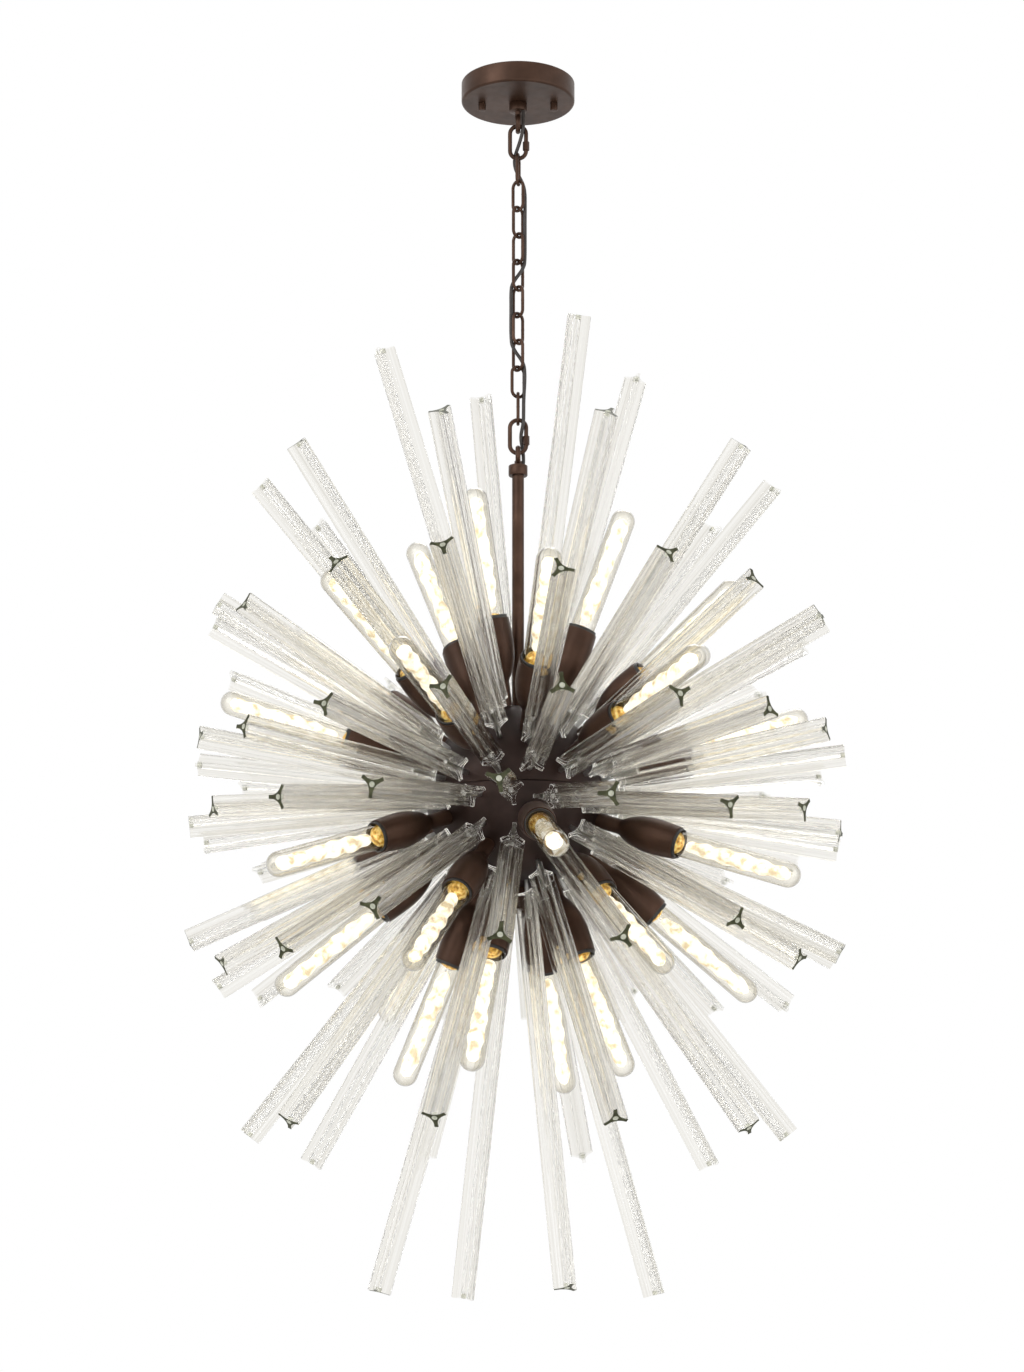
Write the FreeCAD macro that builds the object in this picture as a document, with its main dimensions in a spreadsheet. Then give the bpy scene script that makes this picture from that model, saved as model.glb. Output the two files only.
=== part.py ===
"""Sputnik chandelier: a ball with star-shaped glass rods and lamp holders, hung on a chain.

Millimetres.  The origin is the centre of the canopy on the ceiling, +Z is up and the
side with -Y is the front.  Each physical piece is a node of its own in parts/.
"""
import FreeCAD, Part
import Sketcher
import math
import operator
import os

Vector = FreeCAD.Vector
Rotation = FreeCAD.Rotation
Placement = FreeCAD.Placement

doc = FreeCAD.newDocument("sputnik_chandelier")
nodes = []

# ---------------------------------------------------------------- driving sizes

SIZES = [
    # canopy at the ceiling
    ("canopy_radius", 70.0),
    ("canopy_height", 25.0),
    ("canopy_wall", 1.6),
    ("canopy_edge", 3.0),
    ("cover_screw_spacing", 88.9),
    ("cover_screw_radius", 2.0),
    ("cover_screw_hole_radius", 2.3),
    ("cap_nut_radius", 4.6),
    ("cap_nut_height", 9.0),
    ("cap_nut_edge", 0.8),
    ("cap_nut_bore_depth", 6.0),
    ("thread_gap", 0.05),
    ("crossbar_length", 102.0),
    ("crossbar_width", 16.0),
    ("crossbar_thickness", 2.0),
    ("box_slot_spacing", 69.85),
    ("box_slot_length", 12.0),
    ("box_slot_radius", 2.4),
    ("nipple_radius", 4.0),
    ("nipple_bore", 2.6),
    ("nipple_in_collar", 6.0),
    ("lock_nut_radius", 7.5),
    ("lock_nut_height", 3.5),
    # loops that the quick links hang in
    ("loop_radius", 9.0),
    ("loop_wire", 3.2),
    ("canopy_collar_radius", 11.0),
    ("canopy_collar_height", 10.7),
    ("canopy_neck_radius", 3.6),
    ("loop_drop", 15.8),
    ("cord_hole_radius", 2.55),
    ("stem_cord_hole_radius", 2.9),
    ("cord_hole_x", 6.4),
    ("cord_hole_y", 3.5),
    # chain
    ("link_wire", 2.0),
    ("link_bend", 8.0),
    ("link_inside", 34.3),
    ("link_play", 0.3),
    ("quick_wire", 2.6),
    ("quick_bend", 9.9),
    ("quick_inside", 36.6),
    ("quick_gap", 4.5),
    ("quick_gap_height", 3.5),
    ("sleeve_radius", 4.1),
    ("sleeve_length", 11.0),
    ("sleeve_gap", 0.1),
    ("sleeve_lift", 0.5),
    # supply cord
    ("cord_radius", 2.2),
    # stem between the chain and the ball
    ("stem_collar_radius", 11.6),
    ("stem_collar_height", 12.8),
    ("stem_neck_radius", 4.4),
    ("stem_loop_rise", 13.0),
    ("stem_radius", 7.25),
    ("stem_wall", 1.0),
    ("stem_length", 291.0),
    ("stem_socket_depth", 3.0),
    ("stem_cord_x", 6.4),
    ("stem_cord_y", 3.5),
    ("stem_cord_slope", 0.5),
    ("stem_seat_gap", 0.1),
    # ball
    ("ball_radius", 110.0),
    ("ball_wall", 2.0),
    ("centre_tube_wall", 1.6),
    ("centre_tube_above", 30.0),
    ("ball_nut_radius", 9.0),
    ("ball_nut_height", 5.0),
    ("finial_radius", 11.5),
    ("finial_height", 30.0),
    ("finial_edge", 1.0),
    ("finial_thread_depth", 12.0),
    # glass rods: a three-armed star with a bore
    ("rod_arm_reach", 15.5),
    ("rod_arm_half_width", 2.4),
    ("rod_valley", 5.2),
    ("rod_bore", 3.3),
    ("rod_start", 127.0),
    ("pin_radius", 3.0),
    ("pin_reach", 157.0),
    ("seat_gap", 0.1),
    # lamps, along their own axis from the centre of the ball
    ("lamp_sides", 10),
    ("cup_neck_radius", 9.0),
    ("cup_neck_end", 140.0),
    ("cup_shoulder_low_radius", 13.5),
    ("cup_shoulder_low", 147.0),
    ("cup_shoulder_mid_radius", 17.5),
    ("cup_shoulder_mid", 158.0),
    ("cup_belly_radius", 21.2),
    ("cup_belly", 174.0),
    ("cup_mouth_radius", 19.3),
    ("cup_mouth", 216.0),
    ("cup_depth", 44.0),
    ("cup_bore", 18.0),
    ("holder_gap", 0.2),
    ("holder_lip", 3.0),
    ("bulb_base_radius", 13.2),
    ("bulb_base_length", 26.0),
    ("bulb_base_sink", 3.0),
    ("bulb_base_gap", 0.3),
    ("bulb_radius", 15.0),
    ("bulb_length", 160.0),
    ("bulb_gap", 0.5),
]

# Rings of glass rods: node, count, first azimuth, elevation, reach of the outer end, and
# the rods that stand off the even ring as (azimuth, elevation, roll), in whole degrees.
# Azimuth 0 is the front; roll turns the star about the rod.
ROD_RINGS = [
    ("rods_top_1", 4, 20, 73, 573.0, {0: (5, 0, 10), 1: (8, 0, 50), 2: (-4, 0, 90), 3: (-10, 0, 5)}),
    ("rods_top_2", 10, -17, 51, 495.0, {0: (1, 0, 20), 2: (2, 0, 75), 9: (-2, 0, 95)}),
    ("rods_top_3", 18, -13, 30, 425.0, {
        0: (0, 0, 43), 1: (0, -5, 100), 2: (0, 0, 60), 3: (-2, -2, 15), 4: (0, -4, 80),
        7: (0, -5, 25), 10: (0, -5, 65), 13: (1, -5, 65), 14: (2, 0, 55), 15: (-1, 0, 35),
        16: (-1, -5, 10), 17: (0, -1, 68)}),
    ("rods_top_4", 18, -13, 7, 394.0, {
        0: (1, 0, 34), 1: (0, 0, 117), 2: (0, 0, 58), 3: (-1, 0, 113), 4: (-2, 0, 20),
        13: (-5, 0, 70), 14: (-3, 0, 100), 15: (2, 0, 85), 16: (1, -2, 40), 17: (0, -1, 45)}),
    ("rods_low_4", 18, -3, -8, 394.0, {
        0: (0, 0, 51), 1: (-2, -2, 28), 2: (0, -2, 45), 3: (-1, 0, 42), 4: (-2, -1, 90),
        13: (1, 2, 30), 14: (-1, 2, 75), 15: (0, 1, 5), 16: (0, 0, 37), 17: (-1, 0, 72)}),
    ("rods_low_3", 18, -3, -31, 430.0, {
        0: (0, 0, 8), 1: (1, 0, 15), 2: (2, 4, 4), 3: (3, 0, 75), 4: (5, 4, 50),
        5: (0, 5, 30), 6: (-4, -2, 110), 8: (0, 5, 60), 11: (0, 5, 90), 12: (4, 0, 25),
        13: (3, 0, 65), 14: (-1, 6, 20), 15: (-4, 0, 71),
        16: (-2, 0, 107), 17: (-1, 5, 47)}),
    ("rods_low_2", 10, -17, -52, 517.0, {
        0: (0, -1, 66), 1: (1, -1, 101), 2: (2, -1, 2), 4: (-2, -4, 30), 5: (2, 0, 80),
        6: (3, 0, 15), 7: (6, -4, 55), 9: (-1, 0, 107)}),
    ("rods_low_1", 4, 17, -74, 616.0, {0: (2, 0, 5), 1: (-2, 0, 45), 2: (6, 0, 85), 3: (0, 0, 60)}),
]
EVEN_ROLL_STEP = 37
ARM_TURN = 120

# Rings of lamps: ring, count, first azimuth, elevation, and the lamps off the even ring.
LAMP_RINGS = [
    ("top_1", 3, -36, 70, {0: (0, 6, 0), 1: (-4, -1, 0), 2: (31, -5, 0)}),
    ("top_2", 6, 7, 37, {1: (-7, 0, 0), 5: (5, 0, 0)}),
    ("top_3", 6, -22, 17, {1: (-3, 0, 0), 5: (0, 0, 0)}),
    ("low_3", 6, 7, -19, {4: (2, 0, 0)}),
    ("low_2", 6, -25, -40, {1: (1, 0, 0), 2: (1, 0, 0), 4: (1, 0, 0), 5: (1, 0, 0)}),
    ("low_1", 4, -22, -67, {1: (-8, 0, 0), 2: (-2, 0, 0), 3: (7, 0, 0)}),
]

# The direction of each chain link's plane, in degrees from X, from the top down.
LINK_TURNS = [80, -40, 45, -45, 45, -45, 45, -45, 24, 90]

# The supply cord, from its end in the canopy to its end in the stem.
CORD_ROUTE = [
    (6.4, -34.0, -9.0),
    (6.4, -3.5, -9.5),
    (6.4, -3.5, -44.0),
    (6.5, -6.1, -61.0),
    (1.6, 0.6, -77.0),
    (-4.6, 6.6, -92.0),
    (-4.0, 11.2, -104.0),
    (1.6, 14.0, -114.5),
    (6.8, 11.2, -126.0),
    (8.6, 4.5, -139.0),
    (8.7, 0.6, -156.0),
    (8.5, -0.2, -181.0),
    (8.6, 0.4, -208.0),
    (8.5, 0.3, -224.0),
    (7.6, -0.3, -237.0),
    (-7.4, 0.4, -256.5),
    (-8.7, -0.2, -269.0),
    (-8.5, 0.3, -288.0),
    (-8.7, -0.2, -308.0),
    (-8.5, 0.4, -325.0),
    (-7.4, -0.3, -338.5),
    (6.6, 0.2, -357.5),
    (8.3, -2.3, -370.0),
    (8.1, -2.8, -386.0),
    (6.9, -3.2, -404.0),
    (6.8, -4.8, -422.0),
    (6.6, -6.0, -437.0),
    (2.8, 1.4, -451.5),
    (5.6, 6.5, -465.0),
    (6.8, 5.4, -477.0),
    (6.3, 3.4, -487.5),
    (3.0, 1.6, -499.5),
    (0.5, 0.3, -516.0),
    (0.0, 0.0, -532.0),
]
# A bend uses this share of the shorter run beside it.
BEND_SHARE = 0.45

# Round wires are drawn with this many flat sides, and the rods' bores with this many.
WIRE_SIDES = 8
BORE_SIDES = 6
# An edge rounded with two flats has its middle corner in by this share of the radius.
MIDDLE_CORNER = 1 - math.cos(math.radians(45))
# Where a lamp's domed end has its rings, in degrees up from the dome's foot.
DOME_RINGS = (0, 35, 63, 85)


# ---------------------------------------------------------------- sizes and formulas

class Size:
    """A value together with the sheet formula that gives it, so that both stay in step."""

    def __init__(self, value, formula=None):
        self.value = float(value)
        self.formula = formula or repr(float(value))

    def joined(self, other, sign, work):
        other = other if isinstance(other, Size) else Size(other)
        return Size(work(self.value, other.value), f"({self.formula} {sign} {other.formula})")

    def __add__(self, other):
        return self.joined(other, "+", operator.add)

    def __sub__(self, other):
        return self.joined(other, "-", operator.sub)

    def __mul__(self, other):
        return self.joined(other, "*", operator.mul)

    def __truediv__(self, other):
        return self.joined(other, "/", operator.truediv)

    def __neg__(self):
        return Size(0) - self


class SheetSizes:
    """The driving sizes by name, read from the spreadsheet."""

    def __init__(self, rows):
        sheet = doc.addObject("Spreadsheet::Sheet", "Sizes")
        for row, (name, value) in enumerate(rows, start=1):
            sheet.set(f"A{row}", name)
            sheet.set(f"B{row}", str(value))
            sheet.setAlias(f"B{row}", name)
        doc.recompute()
        for name, value in rows:
            setattr(self, name, Size(sheet.get(name), f"Sizes.{name}"))


ring_rows = [(f"{ring[0]}_count", ring[1]) for ring in ROD_RINGS]
ring_rows += [(f"{ring[0]}_start", ring[2]) for ring in ROD_RINGS]
ring_rows += [(f"{ring[0]}_elevation", ring[3]) for ring in ROD_RINGS]
ring_rows += [(f"{ring[0]}_reach", ring[4]) for ring in ROD_RINGS]
ring_rows += [(f"lamps_{ring[0]}_count", ring[1]) for ring in LAMP_RINGS]
ring_rows += [(f"lamps_{ring[0]}_start", ring[2]) for ring in LAMP_RINGS]
ring_rows += [(f"lamps_{ring[0]}_elevation", ring[3]) for ring in LAMP_RINGS]
size = SheetSizes(SIZES + ring_rows)
ZERO = Size(0)

# Heights that follow from the driving sizes, all measured from the ceiling.
collar_top = -size.canopy_height
collar_bottom = collar_top - size.canopy_collar_height
canopy_loop_height = collar_bottom - size.loop_drop
upper_quick_top = canopy_loop_height - size.loop_radius + size.loop_wire + size.link_play
link_drop = size.link_inside - size.link_play
quick_drop = size.quick_inside - size.link_play
first_link_top = upper_quick_top - quick_drop
lower_quick_top = first_link_top - link_drop * len(LINK_TURNS)
stem_loop_inner_top = lower_quick_top - quick_drop
stem_loop_height = stem_loop_inner_top - size.loop_radius + size.loop_wire
stem_collar_top = stem_loop_height - size.stem_loop_rise
stem_collar_bottom = stem_collar_top - size.stem_collar_height
stem_tube_top = stem_collar_bottom + size.stem_socket_depth
ball_top = stem_tube_top - size.stem_length
ball_height = ball_top - size.stem_seat_gap - size.ball_radius
centre_tube_radius = size.stem_radius - size.stem_wall - size.thread_gap

# Distances along a lamp's axis from the centre of the ball.
cup_floor = size.cup_mouth - size.cup_depth
holder_end = size.cup_mouth + size.holder_lip
bulb_base_end = size.cup_mouth - size.bulb_base_sink
bulb_base_start = bulb_base_end - size.bulb_base_length
bulb_dome_start = bulb_base_end + size.bulb_length - size.bulb_radius


# ---------------------------------------------------------------- building helpers

def bind(item, **sizes):
    """Bind properties of an object, such as Radius, to their sizes."""
    for name, amount in sizes.items():
        item.setExpression(name, amount.formula)


def place(item, x=ZERO, y=ZERO, z=ZERO):
    """Put an object where its sizes say."""
    for axis, amount in (("x", x), ("y", y), ("z", z)):
        item.setExpression(f"Placement.Base.{axis}", amount.formula)


def keep(item, label):
    """Name an object as a node of the finished part."""
    item.Label = label
    nodes.append(item)
    return item


def new_body(name):
    return doc.addObject("PartDesign::Body", name)


def new_sketch(body, name, plane, offset=ZERO):
    """A sketch on a plane of the body's own origin, moved along the plane's normal."""
    sketch = body.newObject("Sketcher::SketchObject", name)
    role = f"{plane}_Plane"
    support = [part for part in body.Origin.OriginFeatures if part.Role == role][0]
    sketch.AttachmentSupport = [(support, "")]
    sketch.MapMode = "FlatFace"
    sketch.setExpression("AttachmentOffset.Base.z", offset.formula)
    return sketch


def fix_axis(sketch, kind, axis, line, amount):
    """Hold the start of a line at a signed distance from the sketch's origin."""
    if amount.value == 0:
        sketch.addConstraint(Sketcher.Constraint("PointOnObject", line, 1, axis))
        return
    if amount.value > 0:
        number = sketch.addConstraint(Sketcher.Constraint(kind, -1, 1, line, 1, amount.value))
        formula = amount.formula
    else:
        number = sketch.addConstraint(Sketcher.Constraint(kind, line, 1, -1, 1, -amount.value))
        formula = (-amount).formula
    sketch.setExpression(f"Constraints[{number}]", formula)


def add_outline(sketch, corners):
    """A closed outline through the corners, each held by its sizes."""
    first = sketch.GeometryCount
    points = [Vector(x.value, y.value, 0) for x, y in corners]
    for start, end in zip(points, points[1:] + points[:1]):
        sketch.addGeometry(Part.LineSegment(start, end), False)
    for step, (x, y) in enumerate(corners):
        line = first + step
        following = first + (step + 1) % len(corners)
        sketch.addConstraint(Sketcher.Constraint("Coincident", line, 2, following, 1))
    for step, (x, y) in enumerate(corners):
        fix_axis(sketch, "DistanceX", -2, first + step, x)
        fix_axis(sketch, "DistanceY", -1, first + step, y)


def add_circle(sketch, radius, x=ZERO, y=ZERO):
    """A circle held by its radius and its centre."""
    circle = Part.Circle(Vector(x.value, y.value, 0), Vector(0, 0, 1), radius.value)
    index = sketch.addGeometry(circle, False)
    number = sketch.addConstraint(Sketcher.Constraint("Radius", index, radius.value))
    sketch.setExpression(f"Constraints[{number}]", radius.formula)
    for kind, axis, amount in (("DistanceX", -2, x), ("DistanceY", -1, y)):
        if amount.value == 0:
            sketch.addConstraint(Sketcher.Constraint("PointOnObject", index, 3, axis))
        elif amount.value > 0:
            number = sketch.addConstraint(
                Sketcher.Constraint(kind, -1, 1, index, 3, amount.value))
            sketch.setExpression(f"Constraints[{number}]", amount.formula)
        else:
            number = sketch.addConstraint(
                Sketcher.Constraint(kind, index, 3, -1, 1, -amount.value))
            sketch.setExpression(f"Constraints[{number}]", (-amount).formula)


def polygon(radius, sides, x=ZERO, y=ZERO):
    """The corners of a regular polygon whose corners lie at the radius."""
    corners = []
    for step in range(sides):
        angle = 2 * math.pi * step / sides
        corners.append((x + radius * round(math.cos(angle), 9),
                        y + radius * round(math.sin(angle), 9)))
    return corners


def turned(name, outline):
    """A body turned about Z from an outline of (radius, height) corners."""
    body = new_body(name)
    sketch = new_sketch(body, f"{name}_outline", "XZ")
    add_outline(sketch, outline)
    revolution = body.newObject("PartDesign::Revolution", f"{name}_turned")
    revolution.Profile = sketch
    revolution.ReferenceAxis = (sketch, ["V_Axis"])
    revolution.Angle = 360
    return body


def padded(body, sketch, length):
    pad = body.newObject("PartDesign::Pad", f"{sketch.Name}_pad")
    pad.Profile = sketch
    bind(pad, Length=length)
    return pad


def pocketed(body, sketch, depth):
    """Cut the sketch down into the body, against the sketch's normal."""
    pocket = body.newObject("PartDesign::Pocket", f"{sketch.Name}_pocket")
    pocket.Profile = sketch
    bind(pocket, Length=depth)
    return pocket


def lofted(body, name, sections, sides):
    """A faceted body through polygons given as (radius, height)."""
    sketches = []
    for step, (radius, height) in enumerate(sections):
        sketch = new_sketch(body, f"{name}_section_{step}", "XY", height)
        add_outline(sketch, polygon(radius, sides))
        sketches.append(sketch)
    loft = body.newObject("PartDesign::AdditiveLoft", f"{name}_loft")
    loft.Profile = sketches[0]
    loft.Sections = sketches[1:]
    loft.Ruled = True
    return loft


def cylinder(name, radius, height, x=ZERO, y=ZERO, z=ZERO):
    item = doc.addObject("Part::Cylinder", name)
    bind(item, Radius=radius, Height=height)
    place(item, x, y, z)
    return item


def hexagon_bar(name, radius, height, z=ZERO):
    item = doc.addObject("Part::Prism", name)
    item.Polygon = 6
    bind(item, Circumradius=radius, Height=height)
    place(item, z=z)
    return item


def fused(name, items):
    item = doc.addObject("Part::MultiFuse", name)
    item.Shapes = items
    item.Refine = True
    return item


def cut(name, base, tools):
    item = doc.addObject("Part::Cut", name)
    item.Base = base
    item.Tool = tools[0] if len(tools) == 1 else fused(f"{name}_tools", tools)
    item.Refine = True
    return item


def copies(label, master, placements):
    """One node that holds a separate solid like the master at each placement."""
    solids = []
    for placement in placements:
        solid = master.Shape.copy()
        solid.Placement = placement.multiply(solid.Placement)
        solids.append(solid)
    item = doc.addObject("Part::Feature", label)
    item.Shape = solids[0] if len(solids) == 1 else Part.makeCompound(solids)
    return keep(item, label)


def outward(azimuth, elevation):
    """The direction from the ball's centre; azimuth 0 is the front, 90 the right."""
    around = math.radians(azimuth)
    above = math.radians(elevation)
    return Vector(math.cos(above) * math.sin(around),
                  -math.cos(above) * math.cos(around),
                  math.sin(above))


def ray_placement(azimuth, elevation, roll):
    """A placement at the ball's centre with local Z outward and local X at the roll."""
    direction = outward(azimuth, elevation)
    upward = Vector(0, 0, 1) - direction * direction.z
    upward.normalize()
    sideways = upward.cross(direction)
    turn = math.radians(roll)
    local_x = upward * math.cos(turn) + sideways * math.sin(turn)
    rotation = Rotation(local_x, direction.cross(local_x), direction, "ZXY")
    return Placement(Vector(0, 0, ball_height.value), rotation)


def ring_placements(ring, exceptions, roll_step=0):
    """One placement for each rod or lamp of a ring, whose sizes the sheet holds."""
    count, start, elevation = (getattr(size, f"{ring}_{part}")
                               for part in ("count", "start", "elevation"))
    placements = []
    number = int(count.value)
    for step in range(number):
        even = (0, 0, roll_step * step % ARM_TURN)
        more_azimuth, more_elevation, roll = exceptions.get(step, even)
        azimuth = start.value + 360.0 * step / number + more_azimuth
        placements.append(ray_placement(azimuth, elevation.value + more_elevation, roll))
    return placements


# ---------------------------------------------------------------- canopy

def make_canopy():
    half_spacing = size.cover_screw_spacing / 2
    radius = size.canopy_radius
    inner = radius - size.canopy_wall
    edge = size.canopy_edge
    inner_edge = edge - size.canopy_wall
    height = size.canopy_height

    cover = turned("canopy_shell", [
        (size.nipple_radius + size.thread_gap, ZERO),
        (radius - edge, ZERO),
        (radius - edge * MIDDLE_CORNER, edge * MIDDLE_CORNER),
        (radius, edge),
        (radius, height),
        (inner, height),
        (inner, edge),
        (inner - inner_edge, size.canopy_wall),
        (size.nipple_radius + size.thread_gap, size.canopy_wall),
    ])
    holes = new_sketch(cover, "cover_holes", "XY", size.canopy_wall)
    add_circle(holes, size.cover_screw_hole_radius, x=half_spacing)
    add_circle(holes, size.cover_screw_hole_radius, x=-half_spacing)
    add_circle(holes, size.cord_hole_radius, x=size.cord_hole_x, y=-size.cord_hole_y)
    pocketed(cover, holes, size.canopy_wall)
    place(cover, z=-height)
    keep(cover, "canopy_cover")

    bar = new_body("ceiling_bar")
    outline = new_sketch(bar, "bar_outline", "XY")
    half_length = size.crossbar_length / 2
    half_width = size.crossbar_width / 2
    add_outline(outline, [(-half_length, -half_width), (half_length, -half_width),
                          (half_length, half_width), (-half_length, half_width)])
    padded(bar, outline, size.crossbar_thickness)
    screw_holes = new_sketch(bar, "bar_holes", "XY", size.crossbar_thickness)
    for side in (-1, 1):
        add_circle(screw_holes, size.cover_screw_radius + size.thread_gap, x=half_spacing * side)
    add_circle(screw_holes, size.nipple_radius + size.thread_gap)
    pocketed(bar, screw_holes, size.crossbar_thickness)
    slots = []
    slot_run = size.box_slot_length - size.box_slot_radius * 2
    for side in (-1, 1):
        middle = size.box_slot_spacing / 2 * side
        slots.append(cylinder(f"slot_left_{side + 1}", size.box_slot_radius,
                              size.crossbar_thickness, x=middle - slot_run / 2))
        slots.append(cylinder(f"slot_right_{side + 1}", size.box_slot_radius,
                              size.crossbar_thickness, x=middle + slot_run / 2))
        straight = doc.addObject("Part::Box", f"slot_middle_{side + 1}")
        bind(straight, Length=slot_run, Width=size.box_slot_radius * 2,
             Height=size.crossbar_thickness)
        place(straight, middle - slot_run / 2, -size.box_slot_radius)
        slots.append(straight)
    slotted = cut("slotted_bar", bar, slots)
    place(slotted, z=-size.crossbar_thickness)
    keep(slotted, "crossbar")

    screw_length = size.canopy_height + size.cap_nut_bore_depth
    screw = cylinder("cover_screw", size.cover_screw_radius, screw_length, z=-screw_length)
    nut = turned("cap_nut", [
        (ZERO, ZERO),
        (size.cap_nut_radius - size.cap_nut_edge, ZERO),
        (size.cap_nut_radius, size.cap_nut_edge),
        (size.cap_nut_radius, size.cap_nut_height),
        (size.cover_screw_radius + size.thread_gap, size.cap_nut_height),
        (size.cover_screw_radius + size.thread_gap,
         size.cap_nut_height - size.cap_nut_bore_depth),
        (ZERO, size.cap_nut_height - size.cap_nut_bore_depth),
    ])
    place(nut, z=-size.canopy_height - size.cap_nut_height)
    doc.recompute()
    sides = [Placement(Vector(half_spacing.value * side, 0, 0), Rotation()) for side in (-1, 1)]
    copies("mounting_screws", screw, sides)
    copies("cap_nuts", nut, sides)

    nipple_length = size.canopy_height + size.nipple_in_collar
    nipple = cut("nipple", cylinder("nipple_rod", size.nipple_radius, nipple_length),
                 [cylinder("nipple_hole", size.nipple_bore, nipple_length)])
    place(nipple, z=-nipple_length)
    keep(nipple, "canopy_nipple")
    lock_nut = cut("lock_nut", hexagon_bar("lock_nut_bar", size.lock_nut_radius, size.lock_nut_height),
                   [cylinder("lock_nut_hole", size.nipple_radius + size.thread_gap,
                             size.lock_nut_height)])
    place(lock_nut, z=-size.crossbar_thickness - size.lock_nut_height)
    keep(lock_nut, "canopy_lock_nut")


def make_loop_ring(name, height):
    """The ring that a quick link hangs in, standing in the YZ plane."""
    ring = new_body(name)
    section = new_sketch(ring, f"{name}_section", "XZ")
    add_outline(section, polygon(size.loop_wire, WIRE_SIDES, y=size.loop_radius))
    revolution = ring.newObject("PartDesign::Revolution", f"{name}_turned")
    revolution.Profile = section
    revolution.ReferenceAxis = (section, ["H_Axis"])
    revolution.Angle = 360
    place(ring, z=height)
    return ring


def make_canopy_loop():
    ring = make_loop_ring("canopy_ring", canopy_loop_height)
    collar = cylinder("canopy_collar", size.canopy_collar_radius, size.canopy_collar_height,
                      z=collar_bottom)
    neck_end = canopy_loop_height + size.loop_radius
    neck = cylinder("canopy_neck", size.canopy_neck_radius, collar_bottom - neck_end, z=neck_end)
    loop = fused("canopy_loop_solid", [collar, neck, ring])
    nipple_hole = cylinder("canopy_collar_thread", size.nipple_radius + size.thread_gap,
                           size.nipple_in_collar, z=collar_top - size.nipple_in_collar)
    cord_hole = cylinder("canopy_cord_hole", size.cord_hole_radius, size.canopy_collar_height,
                         x=size.cord_hole_x, y=-size.cord_hole_y, z=collar_bottom)
    keep(cut("canopy_loop_cut", loop, [nipple_hole, cord_hole]), "canopy_loop")


# ---------------------------------------------------------------- chain

def make_link_body(name, wire, bend, inside):
    """A welded link in the XZ plane with the middle of its upper wire at the origin."""
    leg = inside + wire * 2 - bend * 2
    body = new_body(name)
    section = new_sketch(body, f"{name}_section", "XY", leg / 2)
    add_outline(section, polygon(wire, WIRE_SIDES, x=bend))
    bow = body.newObject("PartDesign::Revolution", f"{name}_bow")
    bow.Profile = section
    bow.ReferenceAxis = (section, ["V_Axis"])
    bow.Angle = 180
    bow.Reversed = True
    side = body.newObject("PartDesign::Pad", f"{name}_leg")
    side.Profile = section
    side.Reversed = True
    bind(side, Length=leg)
    both = body.newObject("PartDesign::PolarPattern", f"{name}_both_ends")
    both.Originals = [bow, side]
    axis = [part for part in body.Origin.OriginFeatures if part.Role == "Y_Axis"][0]
    both.Axis = (axis, [""])
    both.Angle = 360
    both.Occurrences = 2
    body.Tip = both
    return body


def make_chain():
    link = make_link_body("chain_link", size.link_wire, size.link_bend, size.link_inside)
    quick = make_link_body("quick_link", size.quick_wire, size.quick_bend, size.quick_inside)
    quick_leg = size.quick_inside + size.quick_wire * 2 - size.quick_bend * 2
    gap_low = size.quick_gap_height - quick_leg / 2
    opening = doc.addObject("Part::Box", "quick_opening")
    reach = size.quick_wire * 2
    bind(opening, Length=reach * 2, Width=reach * 2, Height=size.quick_gap)
    place(opening, size.quick_bend - reach, -reach, gap_low)
    open_quick = cut("open_quick_link", quick, [opening])
    sleeve_bar = hexagon_bar("sleeve_bar", size.sleeve_radius, size.sleeve_length)
    sleeve_hole = doc.addObject("Part::Prism", "sleeve_hole")
    sleeve_hole.Polygon = WIRE_SIDES
    bind(sleeve_hole, Circumradius=size.quick_wire + size.sleeve_gap, Height=size.sleeve_length)
    sleeve = cut("sleeve", sleeve_bar, [sleeve_hole])
    place(sleeve, x=size.quick_bend, z=size.sleeve_lift - quick_leg / 2)
    doc.recompute()

    half_link = size.link_inside.value / 2
    half_quick = size.quick_inside.value / 2
    for label, top in (("upper", upper_quick_top), ("lower", lower_quick_top)):
        middle = Placement(Vector(0, 0, top.value - half_quick), Rotation())
        copies(f"quick_link_{label}", open_quick, [middle])
        copies(f"quick_link_{label}_sleeve", sleeve, [middle])
    for step, turn in enumerate(LINK_TURNS):
        height = (first_link_top - link_drop * step).value - half_link
        upright = Placement(Vector(0, 0, height), Rotation(Vector(0, 0, 1), turn))
        copies(f"chain_link_{step + 1:02d}", link, [upright])


# ---------------------------------------------------------------- supply cord

def cord_path(points):
    """Straight runs joined by tangent arcs, with each arc's radius."""
    edges = []
    radii = []
    here = points[0]
    for before, corner, after in zip(points, points[1:], points[2:]):
        back = before - corner
        ahead = after - corner
        reach = BEND_SHARE * min(back.Length, ahead.Length)
        half_turn = (math.pi - back.getAngle(ahead)) / 2
        radius = reach / math.tan(half_turn)
        back.normalize()
        ahead.normalize()
        middle = back + ahead
        middle.normalize()
        into = corner + back * reach
        out = corner + ahead * reach
        depth = radius / math.cos(half_turn) - radius
        edges.append(Part.LineSegment(here, into).toShape())
        edges.append(Part.Arc(into, corner + middle * depth, out).toShape())
        radii.append(radius)
        here = out
    edges.append(Part.LineSegment(here, points[-1]).toShape())
    return Part.Wire(edges), radii


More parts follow.
